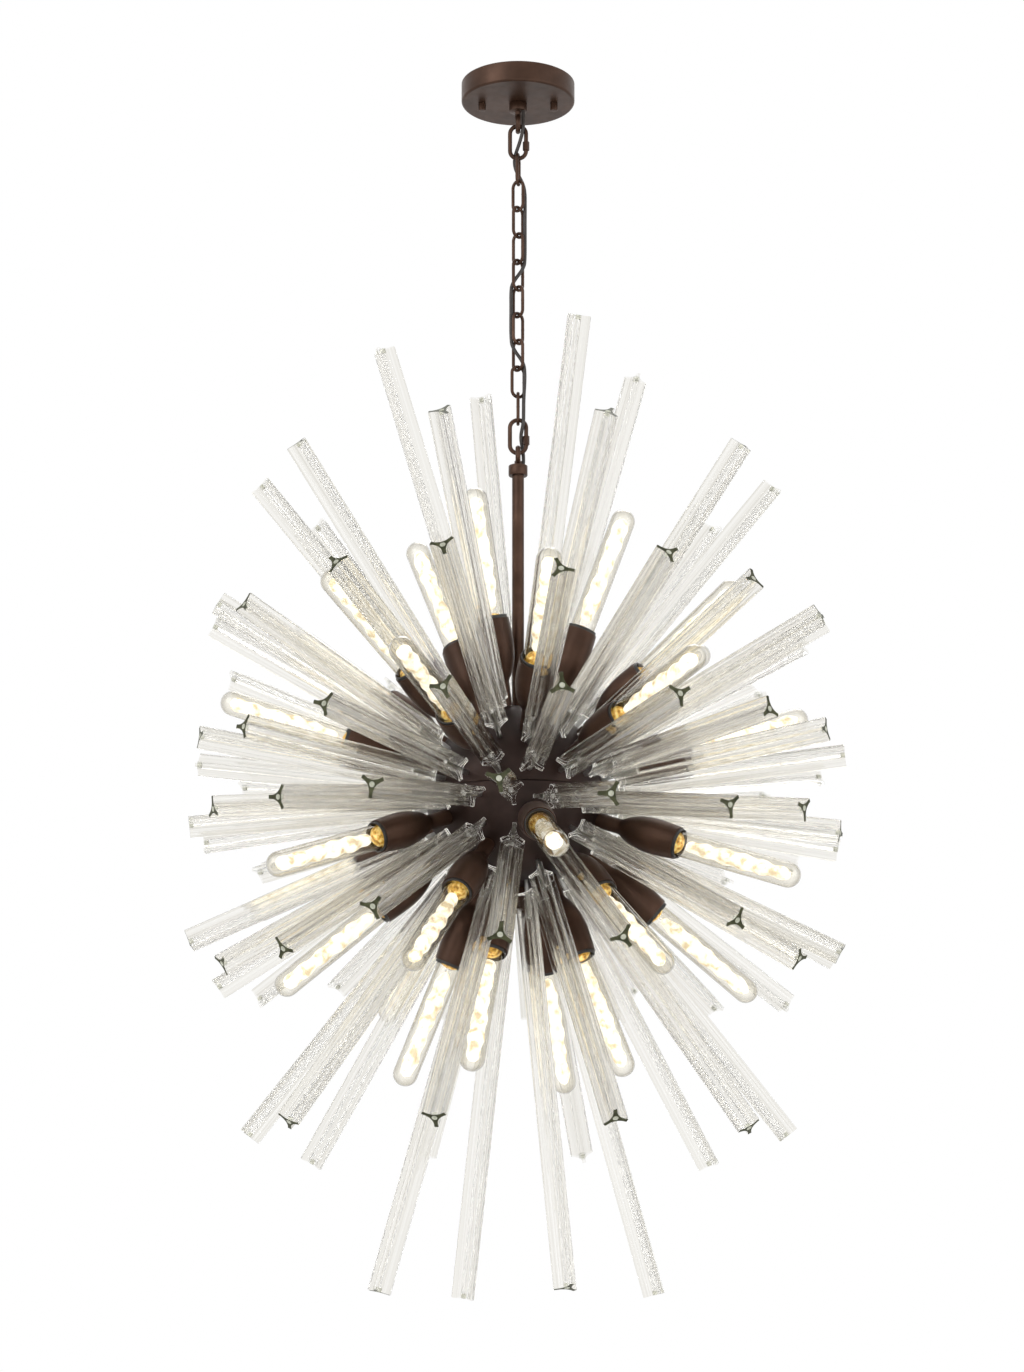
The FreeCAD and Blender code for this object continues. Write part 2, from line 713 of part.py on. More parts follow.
def make_cord():
    points = [Vector(*point) for point in CORD_ROUTE]
    path, radii = cord_path(points)
    start = points[0]
    along = points[1] - points[0]
    radius = size.cord_radius.value
    section = Part.makeCircle(radius, start, along)
    side_turn = 2 * math.pi / WIRE_SIDES
    corners = [section.valueAt(side_turn * step) for step in range(WIRE_SIDES)]
    profile = Part.makePolygon(corners + corners[:1])
    item = doc.addObject("Part::Feature", "cord")
    item.Shape = path.makePipeShell([profile], True, False)
    keep(item, "supply_cord")
    area = WIRE_SIDES / 2 * radius ** 2 * math.sin(side_turn)
    print("cord length", round(path.Length, 1), "least bend radius", round(min(radii), 1))
    print("cord bend radii", [round(radius) for radius in radii])
    print("cord volume", round(item.Shape.Volume), "section times length", round(area * path.Length))


# ---------------------------------------------------------------- stem and ball

def make_stem():
    ring = make_loop_ring("stem_ring", stem_loop_height)
    collar = cylinder("stem_collar", size.stem_collar_radius, size.stem_collar_height,
                      z=stem_collar_bottom)
    neck = cylinder("stem_neck", size.stem_neck_radius,
                    stem_loop_height - size.loop_radius - stem_collar_top, z=stem_collar_top)
    loop = fused("stem_loop_solid", [collar, neck, ring])
    socket = cylinder("stem_socket", size.stem_radius + size.thread_gap, size.stem_socket_depth,
                      z=stem_collar_bottom)
    above = Vector(size.stem_cord_x.value, size.stem_cord_y.value, stem_collar_top.value)
    below = Vector(above.x * size.stem_cord_slope.value, above.y * size.stem_cord_slope.value,
                   stem_tube_top.value)
    slope = (below - above).normalize()
    entry = doc.addObject("Part::Feature", "stem_cord_hole")
    entry.Shape = Part.makeCylinder(size.stem_cord_hole_radius.value,
                                    size.stem_collar_height.value * 2,
                                    above - slope * size.stem_collar_height.value / 2, slope)
    keep(cut("stem_loop_cut", loop, [socket, entry]), "stem_loop")

    tube = cut("tube", cylinder("tube_outside", size.stem_radius, size.stem_length),
               [cylinder("tube_inside", size.stem_radius - size.stem_wall, size.stem_length)])
    place(tube, z=ball_top)
    keep(tube, "stem_tube")


def make_ball():
    for half, low, high in (("upper", 0, 90), ("lower", -90, 0)):
        outside = doc.addObject("Part::Sphere", f"{half}_outside")
        outside.Angle1 = low
        outside.Angle2 = high
        bind(outside, Radius=size.ball_radius)
        inside = doc.addObject("Part::Sphere", f"{half}_inside")
        bind(inside, Radius=size.ball_radius - size.ball_wall)
        hole = cylinder(f"{half}_hole", centre_tube_radius + size.thread_gap, size.ball_radius,
                        z=ZERO if half == "upper" else -size.ball_radius)
        shell = cut(f"{half}_shell", outside, [inside, hole])
        place(shell, z=ball_height)
        keep(shell, f"hub_shell_{half}")

    tube_top = ball_height + size.ball_radius + size.centre_tube_above
    tube_bottom = ball_height - size.ball_radius - size.finial_thread_depth
    tube_length = tube_top - tube_bottom
    tube = cut("centre_tube", cylinder("centre_tube_outside", centre_tube_radius, tube_length),
               [cylinder("centre_tube_inside", centre_tube_radius - size.centre_tube_wall,
                         tube_length)])
    place(tube, z=tube_bottom)
    keep(tube, "hub_centre_tube")

    inner_radius = size.ball_radius - size.ball_wall
    corner_drop = size.ball_nut_radius * size.ball_nut_radius / (inner_radius * 2)
    nut_seat = inner_radius - corner_drop - size.seat_gap
    for label, height in (("top", ball_height + nut_seat - size.ball_nut_height),
                          ("bottom", ball_height - nut_seat)):
        nut = cut(f"ball_nut_{label}",
                  hexagon_bar(f"ball_nut_{label}_bar", size.ball_nut_radius, size.ball_nut_height),
                  [cylinder(f"ball_nut_{label}_hole", centre_tube_radius + size.thread_gap,
                            size.ball_nut_height)])
        place(nut, z=height)
        keep(nut, f"hub_{label}_nut")

    finial_top = ball_height - size.ball_radius - size.seat_gap
    finial = turned("finial", [
        (ZERO, ZERO),
        (size.finial_radius - size.finial_edge, ZERO),
        (size.finial_radius, size.finial_edge),
        (size.finial_radius, size.finial_height),
        (centre_tube_radius + size.thread_gap, size.finial_height),
        (centre_tube_radius + size.thread_gap,
         size.finial_height - size.finial_thread_depth),
        (ZERO, size.finial_height - size.finial_thread_depth),
    ])
    place(finial, z=finial_top - size.finial_height)
    keep(finial, "bottom_finial")


# ---------------------------------------------------------------- glass rods

def star_corners():
    """The three-armed star: two corners at each arm's end, one in each valley."""
    corners = []
    for arm in range(3):
        for along, across in ((size.rod_arm_reach, -size.rod_arm_half_width),
                              (size.rod_arm_reach, size.rod_arm_half_width)):
            angle = math.radians(ARM_TURN * arm)
            cosine, sine = round(math.cos(angle), 9), round(math.sin(angle), 9)
            corners.append((along * cosine - across * sine, along * sine + across * cosine))
        valley = math.radians(ARM_TURN * (arm + 0.5))
        corners.append((size.rod_valley * round(math.cos(valley), 9),
                        size.rod_valley * round(math.sin(valley), 9)))
    return corners


def make_rods():
    rods = []
    for name, *_ in ROD_RINGS:
        reach = getattr(size, f"{name}_reach")
        rod = new_body(f"{name}_rod")
        star = new_sketch(rod, f"{name}_star", "XY", size.rod_start)
        add_outline(star, star_corners())
        add_outline(star, polygon(size.rod_bore, BORE_SIDES))
        padded(rod, star, reach - size.rod_start)
        rods.append(rod)
    pin_start = size.ball_radius + size.seat_gap
    pin = hexagon_bar("rod_pin", size.pin_radius, size.pin_reach - pin_start, z=pin_start)
    doc.recompute()

    pin_places = {"upper": [], "lower": []}
    for (name, _, _, elevation, _, exceptions), rod in zip(ROD_RINGS, rods):
        places = ring_placements(name, exceptions, EVEN_ROLL_STEP)
        copies(f"glass_{name}", rod, places)
        pin_places["upper" if elevation > 0 else "lower"].extend(places)
    for half, places in pin_places.items():
        copies(f"rod_pins_{half}", pin, places)


# ---------------------------------------------------------------- lamps

def make_lamps():
    sides = int(size.lamp_sides.value)

    cup = new_body("cup")
    lofted(cup, "cup", [
        (size.cup_neck_radius, size.ball_radius + size.seat_gap),
        (size.cup_neck_radius, size.cup_neck_end),
        (size.cup_shoulder_low_radius, size.cup_shoulder_low),
        (size.cup_shoulder_mid_radius, size.cup_shoulder_mid),
        (size.cup_belly_radius, size.cup_belly),
        (size.cup_mouth_radius, size.cup_mouth),
    ], sides)
    bore = new_sketch(cup, "cup_bore", "XY", size.cup_mouth)
    add_outline(bore, polygon(size.cup_bore, sides))
    pocketed(cup, bore, size.cup_depth)

    holder = new_body("holder")
    outline = new_sketch(holder, "holder_outline", "XY", cup_floor)
    add_outline(outline, polygon(size.cup_bore - size.holder_gap, sides))
    padded(holder, outline, holder_end - cup_floor)
    for name, radius, floor in (
            ("holder_base_bore", size.bulb_base_radius + size.bulb_base_gap, bulb_base_start),
            ("holder_mouth_bore", size.bulb_radius + size.bulb_gap, bulb_base_end)):
        sketch = new_sketch(holder, name, "XY", holder_end)
        add_outline(sketch, polygon(radius, sides))
        pocketed(holder, sketch, holder_end - floor)

    base = new_body("bulb_base")
    base_outline = new_sketch(base, "bulb_base_outline", "XY", bulb_base_start)
    add_outline(base_outline, polygon(size.bulb_base_radius, sides))
    padded(base, base_outline, size.bulb_base_length)

    bulb = new_body("bulb")
    dome = [(size.bulb_radius * math.cos(math.radians(rise)),
             bulb_dome_start + size.bulb_radius * math.sin(math.radians(rise)))
            for rise in DOME_RINGS]
    lofted(bulb, "bulb", [(size.bulb_radius, bulb_base_end)] + dome, sides)
    doc.recompute()

    half_places = {"upper": [], "lower": []}
    for name, _, _, elevation, exceptions in LAMP_RINGS:
        places = ring_placements(f"lamps_{name}", exceptions)
        copies(f"lamp_cups_{name}", cup, places)
        copies(f"bulbs_{name}", bulb, places)
        half_places["upper" if elevation > 0 else "lower"].extend(places)
    for half, places in half_places.items():
        copies(f"lamp_holders_{half}", holder, places)
        copies(f"bulb_bases_{half}", base, places)


# ---------------------------------------------------------------- build and write

make_canopy()
make_canopy_loop()
make_chain()
make_cord()
make_stem()
make_ball()
make_rods()
make_lamps()
doc.recompute()

for item in doc.Objects:
    if "Invalid" in item.State or "Error" in item.State:
        raise RuntimeError(f"{item.Name} failed to build")

os.makedirs("parts", exist_ok=True)
for item in nodes:
    if item.Shape.isNull() or not item.Shape.isValid():
        raise RuntimeError(f"{item.Label} has no valid shape")
    item.Shape.exportStep(os.path.join("parts", f"{item.Label}.step"))
print("nodes", len(nodes), "solids", sum(len(item.Shape.Solids) for item in nodes))
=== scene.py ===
"""Looks of the sputnik chandelier: clear star rods, lit tube lamps, bronze paint, chain and cord."""
import math

import bmesh
import bpy
import numpy as np
from mathutils import Matrix, Vector


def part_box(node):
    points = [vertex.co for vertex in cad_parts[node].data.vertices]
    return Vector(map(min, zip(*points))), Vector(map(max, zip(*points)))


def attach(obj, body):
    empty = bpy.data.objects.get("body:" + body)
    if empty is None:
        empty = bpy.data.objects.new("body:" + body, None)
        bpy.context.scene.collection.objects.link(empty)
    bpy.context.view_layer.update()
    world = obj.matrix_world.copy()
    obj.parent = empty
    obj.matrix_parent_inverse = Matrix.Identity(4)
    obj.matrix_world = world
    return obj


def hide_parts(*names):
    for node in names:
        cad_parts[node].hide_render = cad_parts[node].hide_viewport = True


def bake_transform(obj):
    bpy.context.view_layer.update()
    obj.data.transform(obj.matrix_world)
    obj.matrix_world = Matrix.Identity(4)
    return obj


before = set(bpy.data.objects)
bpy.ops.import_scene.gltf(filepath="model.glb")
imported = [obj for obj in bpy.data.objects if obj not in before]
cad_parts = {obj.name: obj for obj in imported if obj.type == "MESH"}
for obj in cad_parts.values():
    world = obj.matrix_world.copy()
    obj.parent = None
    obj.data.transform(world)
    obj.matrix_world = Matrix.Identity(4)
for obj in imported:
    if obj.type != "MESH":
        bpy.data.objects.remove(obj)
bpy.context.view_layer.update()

MM = 0.001
TAU = 2 * math.pi
ORIGIN = Vector((0, 0, 0))
X_AXIS = Vector((1, 0, 0))
Y_AXIS = Vector((0, 1, 0))
Z_AXIS = Vector((0, 0, 1))
UPRIGHT = (Z_AXIS, X_AXIS, Y_AXIS)

# The ball's two halves meet at the height of its centre.
BALL_CENTRE = Vector((0, 0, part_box("hub_shell_upper")[0][2]))


# ---------------------------------------------------------------- mesh helpers

# Points nearer than this, in metres, or the same to so many decimals, are one point.
MERGE_REACH = 1e-6
POINT_DIGITS = 6
# Edges that turn by more than this, in degrees, stay sharp.
SHARP_ANGLE = 35


def running_length(ring):
    """The distance from a ring's first point to each of its points, and round to the first."""
    sums = [0.0]
    for point, after in zip(ring, ring[1:] + ring[:1]):
        sums.append(sums[-1] + (Vector(after) - Vector(point)).length)
    return sums


class Shape:
    """Collects rings of points, and the quads between them, for one piece."""

    def __init__(self):
        self.points = []
        self.faces = []
        self.kinds = []
        self.places = []

    def rings(self, rings, kinds=None, around=True, along=False):
        """Join rings of equal length; kinds has a material number for each band between two.

        around closes each ring, and along joins the last ring to the first. The UV map gives
        each quad its place in metres, round the widest ring and along the rings' first points.
        """
        count = len(rings[0])
        first = len(self.points)
        lengths = [0.0]
        for ring, after in zip(rings, rings[1:] + rings[:1]):
            self.points.extend(ring)
            lengths.append(lengths[-1] + (Vector(after[0]) - Vector(ring[0])).length)
        widths = max((running_length(ring) for ring in rings), key=lambda sums: sums[-1])
        bands = len(rings) if along else len(rings) - 1
        sides = count if around else count - 1
        kinds = kinds or [0] * bands
        for band in range(bands):
            lower = first + band * count
            upper = first + (band + 1) % len(rings) * count
            near, far = lengths[band], lengths[band + 1]
            for side in range(sides):
                after = (side + 1) % count
                left, right = widths[side], widths[side + 1]
                self.faces.append((lower + side, lower + after, upper + after, upper + side))
                self.kinds.append(kinds[band])
                self.places.append(((left, near), (right, near), (right, far), (left, far)))

    def piece(self, name, materials, sharp=SHARP_ANGLE):
        """Make an object of what was collected, shaded smooth between its sharp edges."""
        mesh = bpy.data.meshes.new(name)
        mesh.from_pydata([tuple(point) for point in self.points], [], self.faces)
        for material in materials:
            mesh.materials.append(material)
        mesh.polygons.foreach_set("material_index", self.kinds)
        layer = mesh.uv_layers.new(name="along")
        flat = [number for places in self.places for place in places for number in place]
        layer.data.foreach_set("uv", flat)
        skin = bmesh.new()
        skin.from_mesh(mesh)
        bmesh.ops.remove_doubles(skin, verts=skin.verts, dist=MERGE_REACH)
        bmesh.ops.recalc_face_normals(skin, faces=skin.faces)
        skin.to_mesh(mesh)
        skin.free()
        mesh.polygons.foreach_set("use_smooth", [True] * len(mesh.polygons))
        mesh.validate()
        mesh.update()
        mesh.set_sharp_from_angle(angle=math.radians(sharp))
        item = bpy.data.objects.new(name, mesh)
        bpy.context.scene.collection.objects.link(item)
        return item


def node_points(node):
    """The places of a CAD node's mesh points."""
    return np.array([vertex.co[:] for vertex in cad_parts[node].data.vertices])


def solids_of(node):
    """The mesh points of each separate solid of a CAD node."""
    points = node_points(node)
    firsts = {}
    same = [firsts.setdefault(tuple(np.round(point, POINT_DIGITS)), index)
            for index, point in enumerate(points)]
    parent = list(range(len(points)))

    def root(index):
        while parent[index] != index:
            parent[index] = parent[parent[index]]
            index = parent[index]
        return index

    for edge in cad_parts[node].data.edges:
        one, two = (root(same[index]) for index in edge.vertices)
        parent[one] = two
    groups = {}
    for index in range(len(points)):
        groups.setdefault(root(same[index]), []).append(index)
    return [points[group] for group in groups.values()]


def different_points(points):
    """A solid's mesh points, with each place only once."""
    return np.unique(np.round(points, POINT_DIGITS), axis=0)


def outward_frame(corners):
    """A solid's axis, which points from the ball to its middle, and two directions across it."""
    axis = (Vector(corners.mean(axis=0)) - BALL_CENTRE).normalized()
    across = axis.orthogonal().normalized()
    return axis, across, axis.cross(across)


def spoke(across, over, angle):
    """The direction at an angle in the plane of two directions."""
    return across * math.cos(angle) + over * math.sin(angle)


def circle(middle, across, over, radius, sides):
    """The points of a circle in the plane of two directions."""
    return [middle + spoke(across, over, TAU * side / sides) * radius for side in range(sides)]


def arc_points(centre_x, centre_y, radius, start, end, steps):
    """Points of an arc in a flat outline, with angles in degrees from the outline's first axis."""
    points = []
    for step in range(steps + 1):
        angle = math.radians(start + (end - start) * step / steps)
        points.append((centre_x + radius * math.cos(angle), centre_y + radius * math.sin(angle)))
    return points


def lathe(shape, profile, sides, origin, directions):
    """Turn a profile of (radius, distance along the axis), in millimetres, about the axis."""
    axis, across, over = directions
    shape.rings([circle(origin + axis * (reach * MM), across, over, radius * MM, sides)
                 for radius, reach in profile])


def wire_loop(shape, path, normal, radius, sides, closed=True):
    """A round wire along a flat path, closed or with two flat ends."""
    rings = []
    last = len(path) - 1
    for step, point in enumerate(path):
        before = path[step - 1] if closed or step else point
        after = path[(step + 1) % len(path)] if closed or step < last else point
        tangent = (after - before).normalized()
        side = tangent.cross(normal).normalized()
        rings.append(circle(point, side, normal, radius, sides))
    if not closed:
        rings = [[path[0]] * sides] + rings + [[path[-1]] * sides]
    shape.rings(rings, along=closed)


# ---------------------------------------------------------------- material helpers

def new_material(name):
    """A material, its node tree and its shader."""
    material = bpy.data.materials.new(name)
    material.use_nodes = True
    tree = material.node_tree
    return material, tree, tree.nodes["Principled BSDF"]


def set_sockets(node, values):
    """Set the sockets whose value is the same all over the surface."""
    for name, value in values.items():
        node.inputs[name].default_value = value


def noise(tree, scale, detail=4.0, source="Object", stretch=None):
    """A noise texture, in the piece's own coordinates unless another source is named."""
    coordinates = tree.nodes.new("ShaderNodeTexCoord")
    texture = tree.nodes.new("ShaderNodeTexNoise")
    set_sockets(texture, {"Scale": scale, "Detail": detail})
    socket = coordinates.outputs[source]
    if stretch:
        mapping = tree.nodes.new("ShaderNodeMapping")
        set_sockets(mapping, {"Scale": stretch})
        tree.links.new(socket, mapping.inputs["Vector"])
        socket = mapping.outputs["Vector"]
    tree.links.new(socket, texture.inputs["Vector"])
    return texture.outputs["Fac"]


def ramp(tree, source, stops):
    """A colour ramp with stops of (position, colour)."""
    item = tree.nodes.new("ShaderNodeValToRGB")
    elements = item.color_ramp.elements
    while len(elements) < len(stops):
        elements.new(0.5)
    for element, (position, colour) in zip(elements, stops):
        element.position = position
        element.color = (*colour, 1.0)
    tree.links.new(source, item.inputs["Fac"])
    return item.outputs["Color"]


def add_bump(tree, shader, scale, strength, depth):
    """A fine grain in the surface, with its depth in metres."""
    bump = tree.nodes.new("ShaderNodeBump")
    set_sockets(bump, {"Strength": strength, "Distance": depth})
    tree.links.new(noise(tree, scale, detail=2.0), bump.inputs["Height"])
    tree.links.new(bump.outputs["Normal"], shader.inputs["Normal"])


def edge_shade(tree, colour, painted_edge_shade, reach):
    """Painted shade: blend to a darker colour where the surface turns away from the viewer."""
    facing = tree.nodes.new("ShaderNodeLayerWeight")
    set_sockets(facing, {"Blend": reach})
    blend = tree.nodes.new("ShaderNodeMix")
    blend.data_type = "RGBA"
    set_sockets(blend, {"B": (*painted_edge_shade, 1.0)})
    tree.links.new(facing.outputs["Facing"], blend.inputs["Factor"])
    tree.links.new(colour, blend.inputs["A"])
    return blend.outputs["Result"]


# ---------------------------------------------------------------- materials

BRONZE_TONES = [(0.3, (0.038, 0.018, 0.010)), (0.55, (0.062, 0.031, 0.019)),
                (0.8, (0.095, 0.051, 0.034))]
# The ball's paint is the bronze made darker: painted shade for the shadow the rods cast on it.
BALL_SHADED_TONES = [(0.3, (0.012, 0.006, 0.004)), (0.55, (0.022, 0.011, 0.008)),
              (0.8, (0.038, 0.021, 0.017))]
PAINT_ROUGHNESS = [(0.2, (0.33, 0.33, 0.33)), (0.8, (0.46, 0.46, 0.46))]

# How much finer the rods' streaks are round the rod than along it, as a scale on the UV map.
ROD_STREAKS = (430.0, 1.2, 1.0)
ROD_TINTS = [(0.34, (0.56, 0.535, 0.465)), (0.46, (0.78, 0.755, 0.69)),
             (0.60, (0.91, 0.895, 0.85))]
# Painted shade for the rods' sides where they turn away from the viewer.
ROD_EDGE_SHADE = (0.62, 0.58, 0.49)
ROD_EDGE_REACH = 0.25
# Below real glass, and with a share of plain see-through: light caught in the star would be black.
ROD_INDEX = 1.31
ROD_ALPHA = 0.66
# Painted shade on the rods' outer cut ends, for the dark ball seen down the rod.
ROD_END_SHADE_TONES = [(0.35, (0.026, 0.028, 0.013)), (0.7, (0.070, 0.073, 0.036))]
# Painted glow in the mouth of each rod's bore.
ROD_BORE_GLOW_TONES = [(0.3, (0.50, 0.51, 0.44)), (0.7, (0.72, 0.72, 0.65))]
# Painted highlight: the bright outline of each rod's inner chamfer.
ROD_RIM_HIGHLIGHT_TONES = [(0.3, (0.78, 0.76, 0.71)), (0.7, (1.0, 0.99, 0.95))]

BULB_TINTS = [(0.3, (0.95, 0.93, 0.87)), (0.7, (0.99, 0.98, 0.95))]
# Painted shade for the tubes' edges where they turn away from the viewer.
BULB_EDGE_SHADE = (0.30, 0.27, 0.21)
BULB_EDGE_REACH = 0.3
BULB_INDEX = 1.4
GLOW_TONES = [(0.36, (0.62, 0.52, 0.34)), (0.46, (0.93, 0.86, 0.70)), (0.56, (1.0, 0.98, 0.90))]
AMBER_TONES = [(0.35, (0.30, 0.13, 0.012)), (0.50, (0.70, 0.40, 0.06)),
               (0.66, (1.0, 0.80, 0.32))]


def bronze_paint(name, tones):
    """Dark metallic paint with cloudy tones, uneven gloss and a fine grain."""
    material, tree, shader = new_material(name)
    colour = ramp(tree, noise(tree, scale=26.0, detail=6.0), tones)
    tree.links.new(colour, shader.inputs["Base Color"])
    roughness = ramp(tree, noise(tree, scale=90.0), PAINT_ROUGHNESS)
    tree.links.new(roughness, shader.inputs["Roughness"])
    set_sockets(shader, {"Metallic": 0.55, "Specular IOR Level": 0.3})
    add_bump(tree, shader, scale=900.0, strength=0.12, depth=0.0004)
    return material


def rod_glass():
    """Drawn clear glass, with fine streaks along the rod, and painted shade where its sides turn
    away from the viewer.
    """
    material, tree, shader = new_material("rod_glass")
    streaks = noise(tree, scale=1.0, detail=2.0, source="UV", stretch=ROD_STREAKS)
    tint_and_edge_shade = edge_shade(tree, ramp(tree, streaks, ROD_TINTS), ROD_EDGE_SHADE, ROD_EDGE_REACH)
    tree.links.new(tint_and_edge_shade, shader.inputs["Base Color"])
    set_sockets(shader, {"Transmission Weight": 1.0, "IOR": ROD_INDEX, "Roughness": 0.0,
                         "Alpha": ROD_ALPHA})
    return material


def rod_end_painted_shade():
    """The cut ends: dark to look at, a painted shade for the dark ball seen down the rod, and clear
    to look out of from inside the glass.
    """
    material, tree, shader = new_material("rod_end_painted_shade")
    colour = ramp(tree, noise(tree, scale=160.0), ROD_END_SHADE_TONES)
    tree.links.new(colour, shader.inputs["Base Color"])
    set_sockets(shader, {"Roughness": 0.4, "Specular IOR Level": 0.12})
    side = tree.nodes.new("ShaderNodeNewGeometry")
    outside = tree.nodes.new("ShaderNodeMath")
    outside.operation = "SUBTRACT"
    outside.inputs[0].default_value = 1.0
    tree.links.new(side.outputs["Backfacing"], outside.inputs[1])
    tree.links.new(outside.outputs[0], shader.inputs["Alpha"])
    return material


def bulb_glass():
    """The lamps' clear glass tubes, with painted shade at their edges where they turn away from the
    viewer.
    """
    material, tree, shader = new_material("bulb_glass")
    clear = ramp(tree, noise(tree, scale=60.0), BULB_TINTS)
    tint_and_edge_shade = edge_shade(tree, clear, BULB_EDGE_SHADE, BULB_EDGE_REACH)
    tree.links.new(tint_and_edge_shade, shader.inputs["Base Color"])
    set_sockets(shader, {"Transmission Weight": 1.0, "IOR": BULB_INDEX, "Roughness": 0.0})
    return material


def glowing(name, tones, strength, scale, detail=3.0, roughness=0.5):
    """A surface that gives light of its own, uneven as cloudy patches; on the rods it is a painted
    glow and highlight.
    """
    material, tree, shader = new_material(name)
    tone = ramp(tree, noise(tree, scale, detail), tones)
    tree.links.new(tone, shader.inputs["Emission Color"])
    tree.links.new(tone, shader.inputs["Base Color"])
    set_sockets(shader, {"Emission Strength": strength, "Roughness": roughness})
    return material


def grained(name, dark, light, roughness, scale, grain, metallic=0.0):
    """A plain finish between two tones, with a fine grain."""
    material, tree, shader = new_material(name)
    colour = ramp(tree, noise(tree, scale), [(0.3, dark), (0.7, light)])
    tree.links.new(colour, shader.inputs["Base Color"])
    set_sockets(shader, {"Metallic": metallic, "Roughness": roughness})
    add_bump(tree, shader, grain, strength=0.1, depth=0.0003)
    return material


def metal(name, dark, light, roughness):
    return grained(name, dark, light, roughness, scale=120.0, grain=700.0, metallic=1.0)


def dull_plastic(name, dark, light, roughness):
    return grained(name, dark, light, roughness, scale=180.0, grain=1200.0)


BRONZE = bronze_paint("bronze_paint", BRONZE_TONES)
BALL_SHADED_PAINT = bronze_paint("ball_shaded_paint", BALL_SHADED_TONES)
ROD_GLASS = rod_glass()
ROD_END_SHADE = rod_end_painted_shade()
# The mouth of a rod's bore, with a painted glow for the light in the glass.
ROD_BORE_GLOW = glowing("rod_bore_painted_glow", ROD_BORE_GLOW_TONES, strength=0.12, scale=200.0, detail=4.0,
                   roughness=0.6)
# A painted highlight on each rod's inner chamfer.
ROD_RIM_HIGHLIGHT = glowing("rod_rim_painted_highlight", ROD_RIM_HIGHLIGHT_TONES, strength=0.7, scale=90.0)
BULB_GLASS = bulb_glass()
GLOW = glowing("lamp_glow", GLOW_TONES, strength=0.9, scale=95.0)
AMBER = glowing("lamp_foot_glow", AMBER_TONES, strength=0.55, scale=210.0)
STEEL = metal("steel", (0.42, 0.42, 0.41), (0.60, 0.60, 0.58), roughness=0.32)
BRASS = metal("brass", (0.50, 0.30, 0.06), (0.78, 0.52, 0.16), roughness=0.25)
BLACK = dull_plastic("black_holder", (0.012, 0.011, 0.010), (0.024, 0.021, 0.019), roughness=0.38)
CORD = dull_plastic("cord_cover", (0.016, 0.012, 0.010), (0.032, 0.025, 0.021), roughness=0.5)


# ---------------------------------------------------------------- glass rods

ROD_RINGS = ("top_1", "top_2", "top_3", "top_4", "low_4", "low_3", "low_2", "low_1")
ARMS = 3
ARM_REACH = 15.5 * MM
ARM_HALF = 2.45 * MM
ARM_ROUND = 0.7 * MM
ARM_ROUND_STEPS = 2
# How far from the rod's middle the hollow between two arms is at its deepest.
VALLEY = 5.2 * MM
VALLEY_STEPS = 8
BORE = 3.2 * MM
END_CHAMFER = 0.5 * MM
INNER_RIM = 0.8 * MM
PIN_BORE_DEPTH = 32 * MM
MOUTH_DEPTH = 5 * MM
ROD_SHARP_ANGLE = 28
# CAD points beyond this share of an arm's reach are at an arm's end.
ARM_END_SHARE = 0.9

# A rod's materials, and the one of each band from the floor of the pin's bore to the outer mouth's.
ROD_MATERIALS = [ROD_GLASS, ROD_END_SHADE, ROD_BORE_GLOW, ROD_RIM_HIGHLIGHT]
# Of the bands, CUT_END is painted shade, MOUTH a painted glow and RIM a painted highlight.
GLASS, CUT_END, MOUTH, RIM = range(4)
ROD_BANDS = [GLASS, GLASS, GLASS, RIM, GLASS, GLASS, CUT_END, MOUTH, MOUTH]


def star_outline():
    """The rod's section: three arms with rounded ends and hollow curves between them."""
    reach, half = ARM_REACH - ARM_ROUND, ARM_HALF - ARM_ROUND
    arm = arc_points(reach, -half, ARM_ROUND, -90, 0, ARM_ROUND_STEPS)
    arm += arc_points(reach, half, ARM_ROUND, 0, 90, ARM_ROUND_STEPS)
    start = Vector((reach, ARM_HALF))
    end = Matrix.Rotation(TAU / ARMS, 2) @ Vector((reach, -ARM_HALF))
    middle = (start + end) / 2
    pull = middle.normalized() * (2 * VALLEY - middle.length)
    for step in range(1, VALLEY_STEPS):
        share = step / VALLEY_STEPS
        point = start * (1 - share) ** 2 + pull * 2 * share * (1 - share) + end * share ** 2
        arm.append(tuple(point))
    outline = []
    for number in range(ARMS):
        turn = TAU * number / ARMS
        for along, across in arm:
            outline.append((along * math.cos(turn) - across * math.sin(turn),
                            along * math.sin(turn) + across * math.cos(turn)))
    return outline


def rod_frame(points):
    """Axis, arm direction, the direction across, and the two ends of a CAD rod."""
    corners = different_points(points)
    axis, across, over = outward_frame(corners)
    from_centre = corners - np.array(BALL_CENTRE)
    along = from_centre @ np.array(axis)
    x_part = from_centre @ np.array(across)
    y_part = from_centre @ np.array(over)
    tips = np.hypot(x_part, y_part) > ARM_END_SHARE * ARM_REACH
    turns = np.sum(np.exp(ARMS * 1j * np.arctan2(y_part[tips], x_part[tips])))
    arm = spoke(across, over, np.angle(turns) / ARMS)
    return axis, arm, axis.cross(arm), along.min(), along.max()


